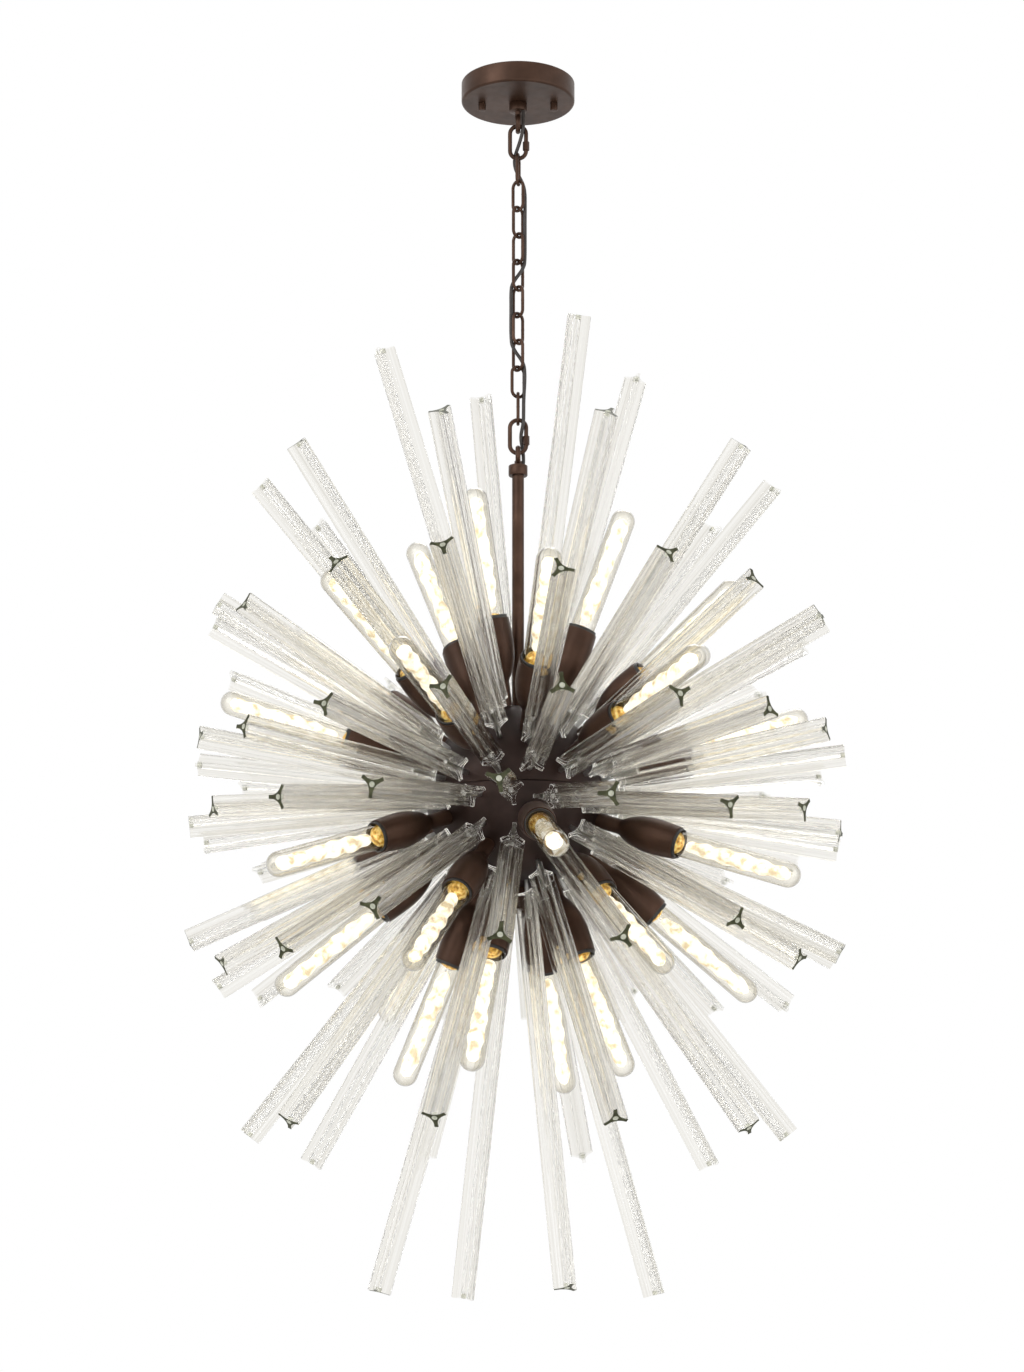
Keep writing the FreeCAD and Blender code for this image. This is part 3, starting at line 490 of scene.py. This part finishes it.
def add_rod(shape, points, outline, bore):
    """One rod, with the pin's bore in its inner end and a mouth with a painted glow in its outer
    one.
    """
    axis, arm, over, start, end = rod_frame(points)

    def section(corners, reach, scale=1.0):
        middle = BALL_CENTRE + axis * reach
        return [middle + (arm * along + over * across) * scale for along, across in corners]

    bore_middle = [(0, 0)] * len(bore)
    shape.rings([
        section(bore_middle, start + PIN_BORE_DEPTH),
        section(bore, start + PIN_BORE_DEPTH),
        section(bore, start),
        section(outline, start, 1 - INNER_RIM / ARM_REACH),
        section(outline, start + INNER_RIM),
        section(outline, end - END_CHAMFER),
        section(outline, end, 1 - END_CHAMFER / ARM_REACH),
        section(bore, end),
        section(bore, end - MOUTH_DEPTH),
        section(bore_middle, end - MOUTH_DEPTH),
    ], ROD_BANDS)


def make_rods():
    outline = star_outline()
    angles = [math.atan2(across, along) for along, across in outline]
    bore = [(BORE * math.cos(angle), BORE * math.sin(angle)) for angle in angles]
    for ring in ROD_RINGS:
        node = f"glass_rods_{ring}"
        shape = Shape()
        for points in solids_of(node):
            add_rod(shape, points, outline, bore)
        piece = shape.piece(f"clear_{node}", ROD_MATERIALS, ROD_SHARP_ANGLE)
        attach(piece, "fixture")
        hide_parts(node)


# ---------------------------------------------------------------- lamps

LAMP_RINGS = ("top_1", "top_2", "top_3", "low_3", "low_2", "low_1")

# A lamp's profiles are in millimetres: radius, and distance from the ball's centre.
CUP_NECK_RADIUS = 9.0
CUP_START = 110.1
CUP_SHOULDER = [(9.3, 139.5), (10.6, 142.5), (12.8, 146.0), (15.2, 151.0), (17.4, 157.5),
                (19.4, 165.0), (20.6, 173.0), (21.2, 181.0), (21.2, 189.0), (20.8, 198.0),
                (20.1, 207.0), (19.5, 213.5)]
CUP_BORE_RADIUS = 18.05
CUP_BORE_FLOOR = 173.0
WIRE_WAY_RADIUS = 8.0
CUP_SIDES = 40

HOLDER_RADIUS = 17.8
HOLDER_START = 172.0
HOLDER_MOUTH_RADIUS = 15.6
HOLDER_BORE_RADIUS = 13.8
HOLDER_BORE_FLOOR = 187.2
HOLDER_SIDES = 36

BASE_START = 187.3
BASE_END = 213.0
THREAD_RADIUS = 12.5
THREAD_SWELL = 0.55
THREAD_START = 193.0
THREAD_STEP = 0.75
THREAD_STEPS = 24
STEPS_PER_THREAD = 6
BASE_SIDES = 28

TUBE_RADIUS = 15.0
TUBE_WALL = 0.9
TUBE_FOOT = (13.0, 213.1)
DOME_CENTRE = 358.0
DOME_STEPS = 8
TUBE_SIDES = 32

FOOT_PROFILE = [(0.0, 222.0), (4.0, 221.6), (8.0, 220.2), (11.2, 217.6), (12.7, 214.9),
                (12.9, 213.3), (0.0, 213.2)]
FOOT_SIDES = 24

GLOW_START = 226 * MM
GLOW_END = 362 * MM
GLOW_RADIUS = 9.6 * MM
GLOW_WAVES = 5.5
GLOW_SWELL = 0.22
# The higher this even power, the squarer are the column's two ends.
GLOW_END_POWER = 10
GLOW_LOBE = 0.10
GLOW_TWIST = 9
GLOW_STEPS = 44
GLOW_SIDES = 18
# How far each lamp's waves are shifted against the last lamp's, in radians.
GLOW_SHIFT = 1.3


def cup_profile():
    """The cup from its neck on the ball to its rolled lip and down inside."""
    neck = [(CUP_NECK_RADIUS, CUP_START), (CUP_NECK_RADIUS, 136.0)]
    lip = arc_points(18.7, 214.6, 0.75, 0, 150, 4)
    inside = [(CUP_BORE_RADIUS, 214.0), (CUP_BORE_RADIUS, 200.0),
              (CUP_BORE_RADIUS, CUP_BORE_FLOOR), (WIRE_WAY_RADIUS, CUP_BORE_FLOOR),
              (WIRE_WAY_RADIUS, CUP_START), (CUP_NECK_RADIUS, CUP_START)]
    return neck + CUP_SHOULDER + lip + inside


def holder_profile():
    """The black lamp holder: outer wall, rounded rim, stepped mouth and floor."""
    wall = [(0.0, HOLDER_START), (HOLDER_RADIUS, HOLDER_START), (HOLDER_RADIUS, 217.2)]
    rim = arc_points(16.9, 218.2, 0.85, 0, 170, 5)
    inside = [(HOLDER_MOUTH_RADIUS, 217.4), (HOLDER_MOUTH_RADIUS, 213.4),
              (HOLDER_BORE_RADIUS, 213.0), (HOLDER_BORE_RADIUS, HOLDER_BORE_FLOOR),
              (0.0, HOLDER_BORE_FLOOR)]
    return wall + rim + inside


def base_profile():
    """The screw shell of a lamp, with its rolled thread."""
    contact = [(0.0, BASE_START), (4.5, BASE_START), (5.2, 189.0), (9.5, 190.5), (11.9, 192.5)]
    thread = []
    for step in range(THREAD_STEPS + 1):
        swell = THREAD_SWELL * math.cos(step * TAU / STEPS_PER_THREAD)
        thread.append((THREAD_RADIUS + swell, THREAD_START + step * THREAD_STEP))
    collar = [(12.9, 211.6), (13.1, BASE_END), (0.0, BASE_END)]
    return contact + thread + collar


def bulb_profile():
    """A thin tube with a domed end: outside, then inside."""
    top = DOME_CENTRE + TUBE_RADIUS
    inner = TUBE_RADIUS - TUBE_WALL
    outside = [TUBE_FOOT, (14.2, 215.0), (14.9, 219.0), (TUBE_RADIUS, 226.0),
               (TUBE_RADIUS, 300.0)]
    outside += arc_points(0.0, DOME_CENTRE, TUBE_RADIUS, 0, 80, DOME_STEPS) + [(0.0, top)]
    inside = [(0.0, top - TUBE_WALL)] + arc_points(0.0, DOME_CENTRE, inner, 80, 0, DOME_STEPS)
    inside += [(inner, 300.0), (inner, 226.0), (14.0, 219.0), (12.6, 214.5), TUBE_FOOT]
    return outside + inside


def add_glow(shape, directions, phase):
    """The glowing inside of a lamp: a column that swells and shrinks in uneven waves."""
    axis, across, over = directions
    rings = []
    for step in range(GLOW_STEPS + 1):
        share = step / GLOW_STEPS
        middle = BALL_CENTRE + axis * (GLOW_START + (GLOW_END - GLOW_START) * share)
        closing = math.sqrt(1 - (2 * share - 1) ** GLOW_END_POWER)
        wave = math.sin(TAU * GLOW_WAVES * share + phase)
        ring = []
        for side in range(GLOW_SIDES):
            angle = TAU * side / GLOW_SIDES
            lobe = math.sin(2 * angle + GLOW_TWIST * share + phase) * GLOW_LOBE
            swell = 1 - GLOW_SWELL / 2 + GLOW_SWELL / 2 * wave + lobe
            ring.append(middle + spoke(across, over, angle) * (GLOW_RADIUS * (closing * swell)))
        rings.append(ring)
    shape.rings(rings)


def make_lamps():
    """Cups, glass tubes, lit feet and glows ring by ring, then what is inside for each half."""
    halves = {"upper": [], "lower": []}
    for ring in LAMP_RINGS:
        cups, bulbs, glows, feet = Shape(), Shape(), Shape(), Shape()
        for number, points in enumerate(solids_of(f"bulbs_{ring}")):
            directions = outward_frame(different_points(points))
            halves["upper" if directions[0].z > 0 else "lower"].append(directions)
            lathe(cups, cup_profile(), CUP_SIDES, BALL_CENTRE, directions)
            lathe(bulbs, bulb_profile(), TUBE_SIDES, BALL_CENTRE, directions)
            lathe(feet, FOOT_PROFILE, FOOT_SIDES, BALL_CENTRE, directions)
            add_glow(glows, directions, number * GLOW_SHIFT)
        for shape, name, materials, node, slot in (
                (cups, "cups", [BRONZE], f"lamp_cups_{ring}", "bronze"),
                (bulbs, "bulb_glass", [BULB_GLASS], f"bulbs_{ring}", "bulb_glass"),
                (feet, "lamp_feet", [AMBER], None, "lamp_base"),
                (glows, "lamp_glows", [GLOW], None, "bulb_glass")):
            piece = shape.piece(f"{name}_{ring}", materials)
            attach(piece, "fixture")
            if node:
                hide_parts(node)
    for half, lamps in halves.items():
        make_lamp_insides(half, lamps)


def make_lamp_insides(half, lamps):
    """The black holders and the brass screw bases of one half of the ball."""
    for profile, sides, name, material, node, slot in (
            (holder_profile(), HOLDER_SIDES, "holders", BLACK, f"lamp_holders_{half}",
             "holder_black"),
            (base_profile(), BASE_SIDES, "screw_bases", BRASS, f"bulb_bases_{half}",
             "lamp_base")):
        shape = Shape()
        for directions in lamps:
            lathe(shape, profile, sides, BALL_CENTRE, directions)
        piece = shape.piece(f"{name}_{half}", [material])
        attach(piece, "fixture")
        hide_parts(node)


# ---------------------------------------------------------------- turned metal pieces

# Profiles here are in millimetres too: radius, and height from the ceiling.
CANOPY_HOLE = 4.1
CANOPY_RADIUS = 70.0
CANOPY_ROUND = 3.0
CANOPY_INSIDE = 68.4
CANOPY_SHEET = 1.6
CANOPY_SIDES = 128
CAP_NUT_RADIUS = 4.6
CAP_NUT_ROUND = 0.8
CAP_NUT_SIDES = 32

# Each loop's piece, node and body, which way its collar lies from its ring (1 is up), and then
# the radii of collar and neck and the distance from the ring's middle to the collar.
LOOPS = (("canopy_loop_cast", "canopy_loop", "canopy", 1, 11.0, 3.6, 15.8),
         ("stem_loop_cast", "stem_loop", "fixture", -1, 11.6, 4.4, 13.0))
RING_REACH = 12.2
RING_RADIUS = 9.0
RING_WIRE = 3.2
RING_STEPS = 40
RING_SIDES = 18
NECK_START = 7.4
COLLAR_SIDES = 48

STEM_BORE = 6.25
STEM_RADIUS = 7.25
STEM_CHAMFER_RADIUS = 7.1
STEM_SIDES = 40
BALL_RADIUS = 110.0
BALL_INSIDE = 108.0
# Angle in degrees, from the ball's middle height, at which a half ends at its middle hole.
BALL_HOLE_ANGLE = 86.8
BALL_SIDES = 128
KNOB_RADIUS = 11.5
KNOB_SIDES = 48


def turned_piece(name, node, profile, body, sides, places=(ORIGIN,), paint=BRONZE):
    """A painted piece turned about an upright axis through each of its places."""
    shape = Shape()
    for place in places:
        lathe(shape, profile, sides, place, UPRIGHT)
    piece = shape.piece(name, [paint])
    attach(piece, body)
    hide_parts(node)


def heights_of(node):
    """The heights of a node's lowest and highest points, in millimetres."""
    low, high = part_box(node)
    return low[2] / MM, high[2] / MM


def make_canopy():
    low = heights_of("canopy_cover")[0]
    inner = low + CANOPY_SHEET
    profile = [(CANOPY_HOLE, low), (66.4, low)]
    profile += arc_points(CANOPY_RADIUS - CANOPY_ROUND, low + CANOPY_ROUND, CANOPY_ROUND, -90, 0, 8)
    profile += [(CANOPY_RADIUS, -0.4), (69.7, 0.0), (68.6, 0.0), (CANOPY_INSIDE, -0.4),
                (CANOPY_INSIDE, low + 3.2), (66.8, inner), (CANOPY_HOLE, inner),
                (CANOPY_HOLE, low)]
    turned_piece("canopy_dish", "canopy_cover", profile, "canopy", CANOPY_SIDES)


def make_cap_nuts():
    low, high = heights_of("cap_nuts")
    end = high - 0.02
    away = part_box("cap_nuts")[1][0] - CAP_NUT_RADIUS * MM
    profile = [(0.0, low)]
    profile += arc_points(CAP_NUT_RADIUS - CAP_NUT_ROUND, low + CAP_NUT_ROUND, CAP_NUT_ROUND,
                          -90, 0, 4)
    profile += [(CAP_NUT_RADIUS, high - 0.3), (4.3, end), (0.0, end)]
    turned_piece("cap_nuts_turned", "cap_nuts", profile, "canopy", CAP_NUT_SIDES,
                 [Vector((-away, 0, 0)), Vector((away, 0, 0))])


def make_loops():
    """The two loops with their collars; the ring of each stands in the YZ plane."""
    for name, node, body, way, collar, neck, rise in LOOPS:
        low, high = heights_of(node)
        ring_end, far = (low, high) if way > 0 else (high, low)
        middle = ring_end + RING_REACH * way
        near = middle + rise * way
        profile = [(0.0, middle + NECK_START * way), (neck, middle + NECK_START * way),
                   (neck, near - 1.6 * way), (neck + 0.8, near - 0.4 * way), (neck + 1.6, near),
                   (collar - 1.0, near), (collar - 0.3, near + 0.3 * way),
                   (collar, near + 1.0 * way), (collar, far - 0.8 * way), (collar - 0.5, far),
                   (0.0, far)]
        shape = Shape()
        lathe(shape, profile, COLLAR_SIDES, ORIGIN, UPRIGHT)
        ring = circle(Vector((0, 0, middle * MM)), Y_AXIS, Z_AXIS, RING_RADIUS * MM, RING_STEPS)
        wire_loop(shape, ring, X_AXIS, RING_WIRE * MM, RING_SIDES)
        piece = shape.piece(name, [BRONZE])
        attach(piece, body)
        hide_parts(node)


def make_stem():
    low, high = heights_of("stem_tube")
    profile = [(STEM_BORE, low), (STEM_CHAMFER_RADIUS, low), (STEM_RADIUS, low + 0.3),
               (STEM_RADIUS, high), (STEM_BORE, high), (STEM_BORE, low)]
    turned_piece("stem_pipe", "stem_tube", profile, "fixture", STEM_SIDES)


def make_ball():
    """The two halves, each from its middle hole to the edge where they meet and back inside."""
    centre = BALL_CENTRE.z / MM
    for half, way in (("upper", 1), ("lower", -1)):
        hole = BALL_HOLE_ANGLE * way
        profile = arc_points(0.0, centre, BALL_RADIUS, hole, 0.45 * way, 40)
        profile += [(109.5, centre + 0.35 * way), (109.3, centre + 0.05 * way),
                    (BALL_INSIDE, centre + 0.05 * way)]
        profile += arc_points(0.0, centre, BALL_INSIDE, 0.2 * way, hole, 24)
        profile.append(profile[0])
        # The halves take the darker paint, a painted shade for the rods' shadow.
        turned_piece(f"ball_{half}", f"hub_shell_{half}", profile, "fixture", BALL_SIDES,
                     paint=BALL_SHADED_PAINT)


def make_knob():
    low, high = heights_of("bottom_finial")
    profile = [(0.0, low), (10.2, low), (11.1, low + 0.4), (KNOB_RADIUS, low + 1.3),
               (KNOB_RADIUS, high - 0.6), (11.1, high), (0.0, high)]
    turned_piece("finial_turned", "bottom_finial", profile, "fixture", KNOB_SIDES)


# ---------------------------------------------------------------- chain

# The body and the CAD node of every link, and the bodies in the order in which they hang.
CHAIN = {f"link_{number:02d}": f"chain_link_{number:02d}" for number in range(1, 11)}
QUICK_LINKS = {"quick_upper": "quick_link_upper", "quick_lower": "quick_link_lower"}
HANGING = ["canopy", "quick_upper", *CHAIN, "quick_lower", "fixture"]

# The radius of a link's bends, along the middle of its wire, and of the wire.
LINK_BEND = 8.0 * MM
LINK_WIRE = 2.0 * MM
QUICK_BEND = 9.9 * MM
QUICK_WIRE = 2.6 * MM
# Where the gap in a quick link's leg starts and ends, from the link's middle.
QUICK_GAP = (-7.5 * MM, -3.0 * MM)
BEND_STEPS = 18
WIRE_SIDES = 16


def link_frame(node):
    """Centre, horizontal direction in the link's plane, and height of a link's CAD solid."""
    points = node_points(node)
    low, high = points[:, 2].min(), points[:, 2].max()
    flat = points[:, :2]
    widest = np.linalg.eigh(flat.T @ flat)[1][:, 1]
    return Vector((0, 0, (low + high) / 2)), Vector((*widest, 0)).normalized(), high - low


def link_path(centre, direction, height, bend, wire, gap=None):
    """The middle line of a link: two half circles joined by straight legs, one with a gap."""
    leg = height - 2 * wire - 2 * bend
    path = [] if gap is None else [centre + direction * bend + Vector((0, 0, gap[1]))]
    for end, start_angle in ((1, 0), (-1, 180)):
        middle = centre + Vector((0, 0, end * leg / 2))
        for step in range(BEND_STEPS + 1):
            angle = math.radians(start_angle + 180 * step / BEND_STEPS)
            path.append(middle + direction * (bend * math.cos(angle))
                        + Vector((0, 0, bend * math.sin(angle))))
    if gap is not None:
        path.append(centre + direction * bend + Vector((0, 0, gap[0])))
    return path


def add_weld(shape, place):
    """The slight swelling round a link's wire where it is welded."""
    wire = LINK_WIRE / MM
    half = [(wire * 0.98, 2.0), (wire, 1.2), (wire + 0.12, 0.5)]
    profile = [(radius, -reach) for radius, reach in half]
    profile += [(wire + 0.16, 0.0)] + half[::-1]
    lathe(shape, profile, WIRE_SIDES, place, UPRIGHT)


def add_link(shape, node):
    """A welded chain link, with its weld in the middle of one leg."""
    centre, direction, height = link_frame(node)
    path = link_path(centre, direction, height, LINK_BEND, LINK_WIRE)
    wire_loop(shape, path, direction.cross(Z_AXIS), LINK_WIRE, WIRE_SIDES)
    add_weld(shape, centre - direction * LINK_BEND)


def add_quick_link(shape, node):
    """An open quick link, with the gap for its sleeve on the side of positive X."""
    centre, direction, height = link_frame(node)
    if direction.x < 0:
        direction = -direction
    path = link_path(centre, direction, height, QUICK_BEND, QUICK_WIRE, QUICK_GAP)
    wire_loop(shape, path, direction.cross(Z_AXIS), QUICK_WIRE, WIRE_SIDES, closed=False)


def make_chain():
    for nodes, add in ((CHAIN, add_link), (QUICK_LINKS, add_quick_link)):
        for body, node in nodes.items():
            shape = Shape()
            add(shape, node)
            piece = shape.piece(f"{node}_wire", [BRONZE])
            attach(piece, body)
            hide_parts(node)


# ---------------------------------------------------------------- supply cord

# The cord's route from part.py, here in metres.
CORD_ROUTE = [
    (0.0064, -0.0340, -0.0090), (0.0064, -0.0035, -0.0095), (0.0064, -0.0035, -0.0440),
    (0.0065, -0.0061, -0.0610), (0.0016, 0.0006, -0.0770), (-0.0046, 0.0066, -0.0920),
    (-0.0040, 0.0112, -0.1040), (0.0016, 0.0140, -0.1145), (0.0068, 0.0112, -0.1260),
    (0.0086, 0.0045, -0.1390), (0.0087, 0.0006, -0.1560), (0.0085, -0.0002, -0.1810),
    (0.0086, 0.0004, -0.2080), (0.0085, 0.0003, -0.2240), (0.0076, -0.0003, -0.2370),
    (-0.0074, 0.0004, -0.2565), (-0.0087, -0.0002, -0.2690), (-0.0085, 0.0003, -0.2880),
    (-0.0087, -0.0002, -0.3080), (-0.0085, 0.0004, -0.3250), (-0.0074, -0.0003, -0.3385),
    (0.0066, 0.0002, -0.3575), (0.0083, -0.0023, -0.3700), (0.0081, -0.0028, -0.3860),
    (0.0069, -0.0032, -0.4040), (0.0068, -0.0048, -0.4220), (0.0066, -0.0060, -0.4370),
    (0.0028, 0.0014, -0.4515), (0.0056, 0.0065, -0.4650), (0.0068, 0.0054, -0.4770),
    (0.0063, 0.0034, -0.4875), (0.0030, 0.0016, -0.4995), (0.0005, 0.0003, -0.5160),
    (0.0, 0.0, -0.5320),
]
CORD_RADIUS = 2.2 * MM
CORD_SIDES = 14


def route_points():
    """Points read from the smooth curve that the cord's route controls."""
    curve = bpy.data.curves.new("cord_route", "CURVE")
    curve.dimensions = "3D"
    spline = curve.splines.new("NURBS")
    spline.points.add(len(CORD_ROUTE) - 1)
    for point, place in zip(spline.points, CORD_ROUTE):
        point.co = (*place, 1.0)
    spline.order_u = 3
    spline.use_endpoint_u = True
    spline.resolution_u = 6
    item = bpy.data.objects.new("cord_route", curve)
    mesh = bpy.data.meshes.new_from_object(item)
    points = [vertex.co.copy() for vertex in mesh.vertices]
    bpy.data.objects.remove(item)
    return points


def cord_rings(points):
    """A ring round the cord at each point, none twisted against the one before."""
    across = X_AXIS
    last = len(points) - 1
    rings = []
    for step, point in enumerate(points):
        tangent = (points[min(step + 1, last)] - points[max(step - 1, 0)]).normalized()
        across = (across - tangent * across.dot(tangent)).normalized()
        rings.append(circle(point, across, tangent.cross(across), CORD_RADIUS, CORD_SIDES))
    return rings


def stretch_ends():
    """The height at which each of the cord's stretches ends: a link's middle, or the cord's end."""
    heights = []
    for body in HANGING[1:-1]:
        low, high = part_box({**CHAIN, **QUICK_LINKS}[body])
        heights.append((low[2] + high[2]) / 2)
    return heights + [-math.inf]


def make_cord():
    """The cord in stretches, one for each joint, between the links' middles."""
    points = route_points()
    rings = cord_rings(points)
    start = 0
    for number, (above, below, height) in enumerate(zip(HANGING, HANGING[1:], stretch_ends())):
        end = start + 1
        while end < len(points) - 1 and points[end].z > height:
            end += 1
        shape = Shape()
        shape.rings(rings[start:end + 1])
        piece = shape.piece(f"cord_{number + 1:02d}_{below}", [CORD])
        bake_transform(piece)
        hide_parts("supply_cord")
        start = end


# ---------------------------------------------------------------- CAD nodes that stay

STEEL_NODES = ("crossbar", "mounting_screws", "canopy_nipple", "canopy_lock_nut",
               "hub_centre_tube", "hub_top_nut", "hub_bottom_nut", "rod_pins_upper",
               "rod_pins_lower")
BRONZE_NODES = ("quick_link_upper_sleeve", "quick_link_lower_sleeve")


def dress_cad_nodes():
    """CAD pieces whose shape is right keep it and get their finish."""
    for nodes, material in ((STEEL_NODES, STEEL), (BRONZE_NODES, BRONZE)):
        for node in nodes:
            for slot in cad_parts[node].material_slots:
                slot.material = material


# ---------------------------------------------------------------- studio

# The world's strength for the light that falls, and where it is seen as the background.
WORLD_LIGHT = 0.7
WORLD_SEEN = 1.0
FLOOR_HEIGHT = -2.35
FLOOR_REACH = 6.0
FLOOR_TONES = [(0.3, (0.88, 0.88, 0.87)), (0.7, (0.92, 0.92, 0.91))]

# Name, place and width in metres, and power in watts.
LIGHTS = (("key_left", (-3.2, -3.4, 0.9), 4.4, 100),
          ("fill_right", (3.7, -2.4, -0.5), 4.0, 56),
          ("low_front", (0.3, -3.4, -2.1), 2.6, 26),
          ("back_rim", (0.5, 2.4, 3.2), 3.4, 60))
LIGHT_AIM = Vector((0, 0, -0.8))

CAMERA_PLACE = (0.0, -3.739, -1.627)
CAMERA_PITCH = 8.07
CAMERA_SHIFT = (-0.0044, 0.2)
SENSOR_WIDTH = 36.0
FOCAL_PIXELS = 3170
PHOTO_HEIGHT = 1372


def white_where_seen(tree, target, shaded, seen):
    """White to the camera and in glass and gloss, a set level for the light that falls."""
    path = tree.nodes.new("ShaderNodeLightPath")
    looked_at = path.outputs["Is Camera Ray"]
    for ray in ("Is Glossy Ray", "Is Transmission Ray"):
        either = tree.nodes.new("ShaderNodeMath")
        either.operation = "MAXIMUM"
        tree.links.new(looked_at, either.inputs[0])
        tree.links.new(path.outputs[ray], either.inputs[1])
        looked_at = either.outputs[0]
    blend = tree.nodes.new("ShaderNodeMapRange")
    set_sockets(blend, {"To Min": shaded, "To Max": seen})
    tree.links.new(looked_at, blend.inputs["Value"])
    tree.links.new(blend.outputs["Result"], target)


def make_world():
    world = bpy.data.worlds.new("studio")
    bpy.context.scene.world = world
    world.use_nodes = True
    background = world.node_tree.nodes["Background"]
    set_sockets(background, {"Color": (1, 1, 1, 1)})
    white_where_seen(world.node_tree, background.inputs["Strength"], WORLD_LIGHT, WORLD_SEEN)


def make_floor():
    shape = Shape()
    shape.rings([[Vector((x, y, FLOOR_HEIGHT)) for x in (-FLOOR_REACH, FLOOR_REACH)]
                 for y in (-FLOOR_REACH, FLOOR_REACH)], around=False)
    material, tree, shader = new_material("pale_floor")
    tree.links.new(ramp(tree, noise(tree, scale=3.0), FLOOR_TONES), shader.inputs["Base Color"])
    set_sockets(shader, {"Roughness": 0.9})
    floor = shape.piece("studio_floor", [material])


def make_lights():
    for name, place, size, energy in LIGHTS:
        light = bpy.data.lights.new(name, "AREA")
        light.shape = "DISK"
        light.size = size
        light.energy = energy
        item = bpy.data.objects.new(name, light)
        item.location = place
        item.rotation_mode = "QUATERNION"
        item.rotation_quaternion = (LIGHT_AIM - Vector(place)).to_track_quat("-Z", "Y")
        bpy.context.scene.collection.objects.link(item)


def make_camera():
    data = bpy.data.cameras.new("photo_camera")
    data.sensor_width = SENSOR_WIDTH
    data.lens = FOCAL_PIXELS / PHOTO_HEIGHT * SENSOR_WIDTH
    data.shift_x, data.shift_y = CAMERA_SHIFT
    camera = bpy.data.objects.new("photo_camera", data)
    camera.location = CAMERA_PLACE
    camera.rotation_euler = (math.radians(90 + CAMERA_PITCH), 0, 0)
    bpy.context.scene.collection.objects.link(camera)
    bpy.context.scene.camera = camera


make_rods()
make_lamps()
make_canopy()
make_cap_nuts()
make_loops()
make_stem()
make_ball()
make_knob()
make_chain()
make_cord()
dress_cad_nodes()
make_world()
make_floor()
make_lights()
make_camera()
bpy.context.scene.view_settings.view_transform = "Standard"
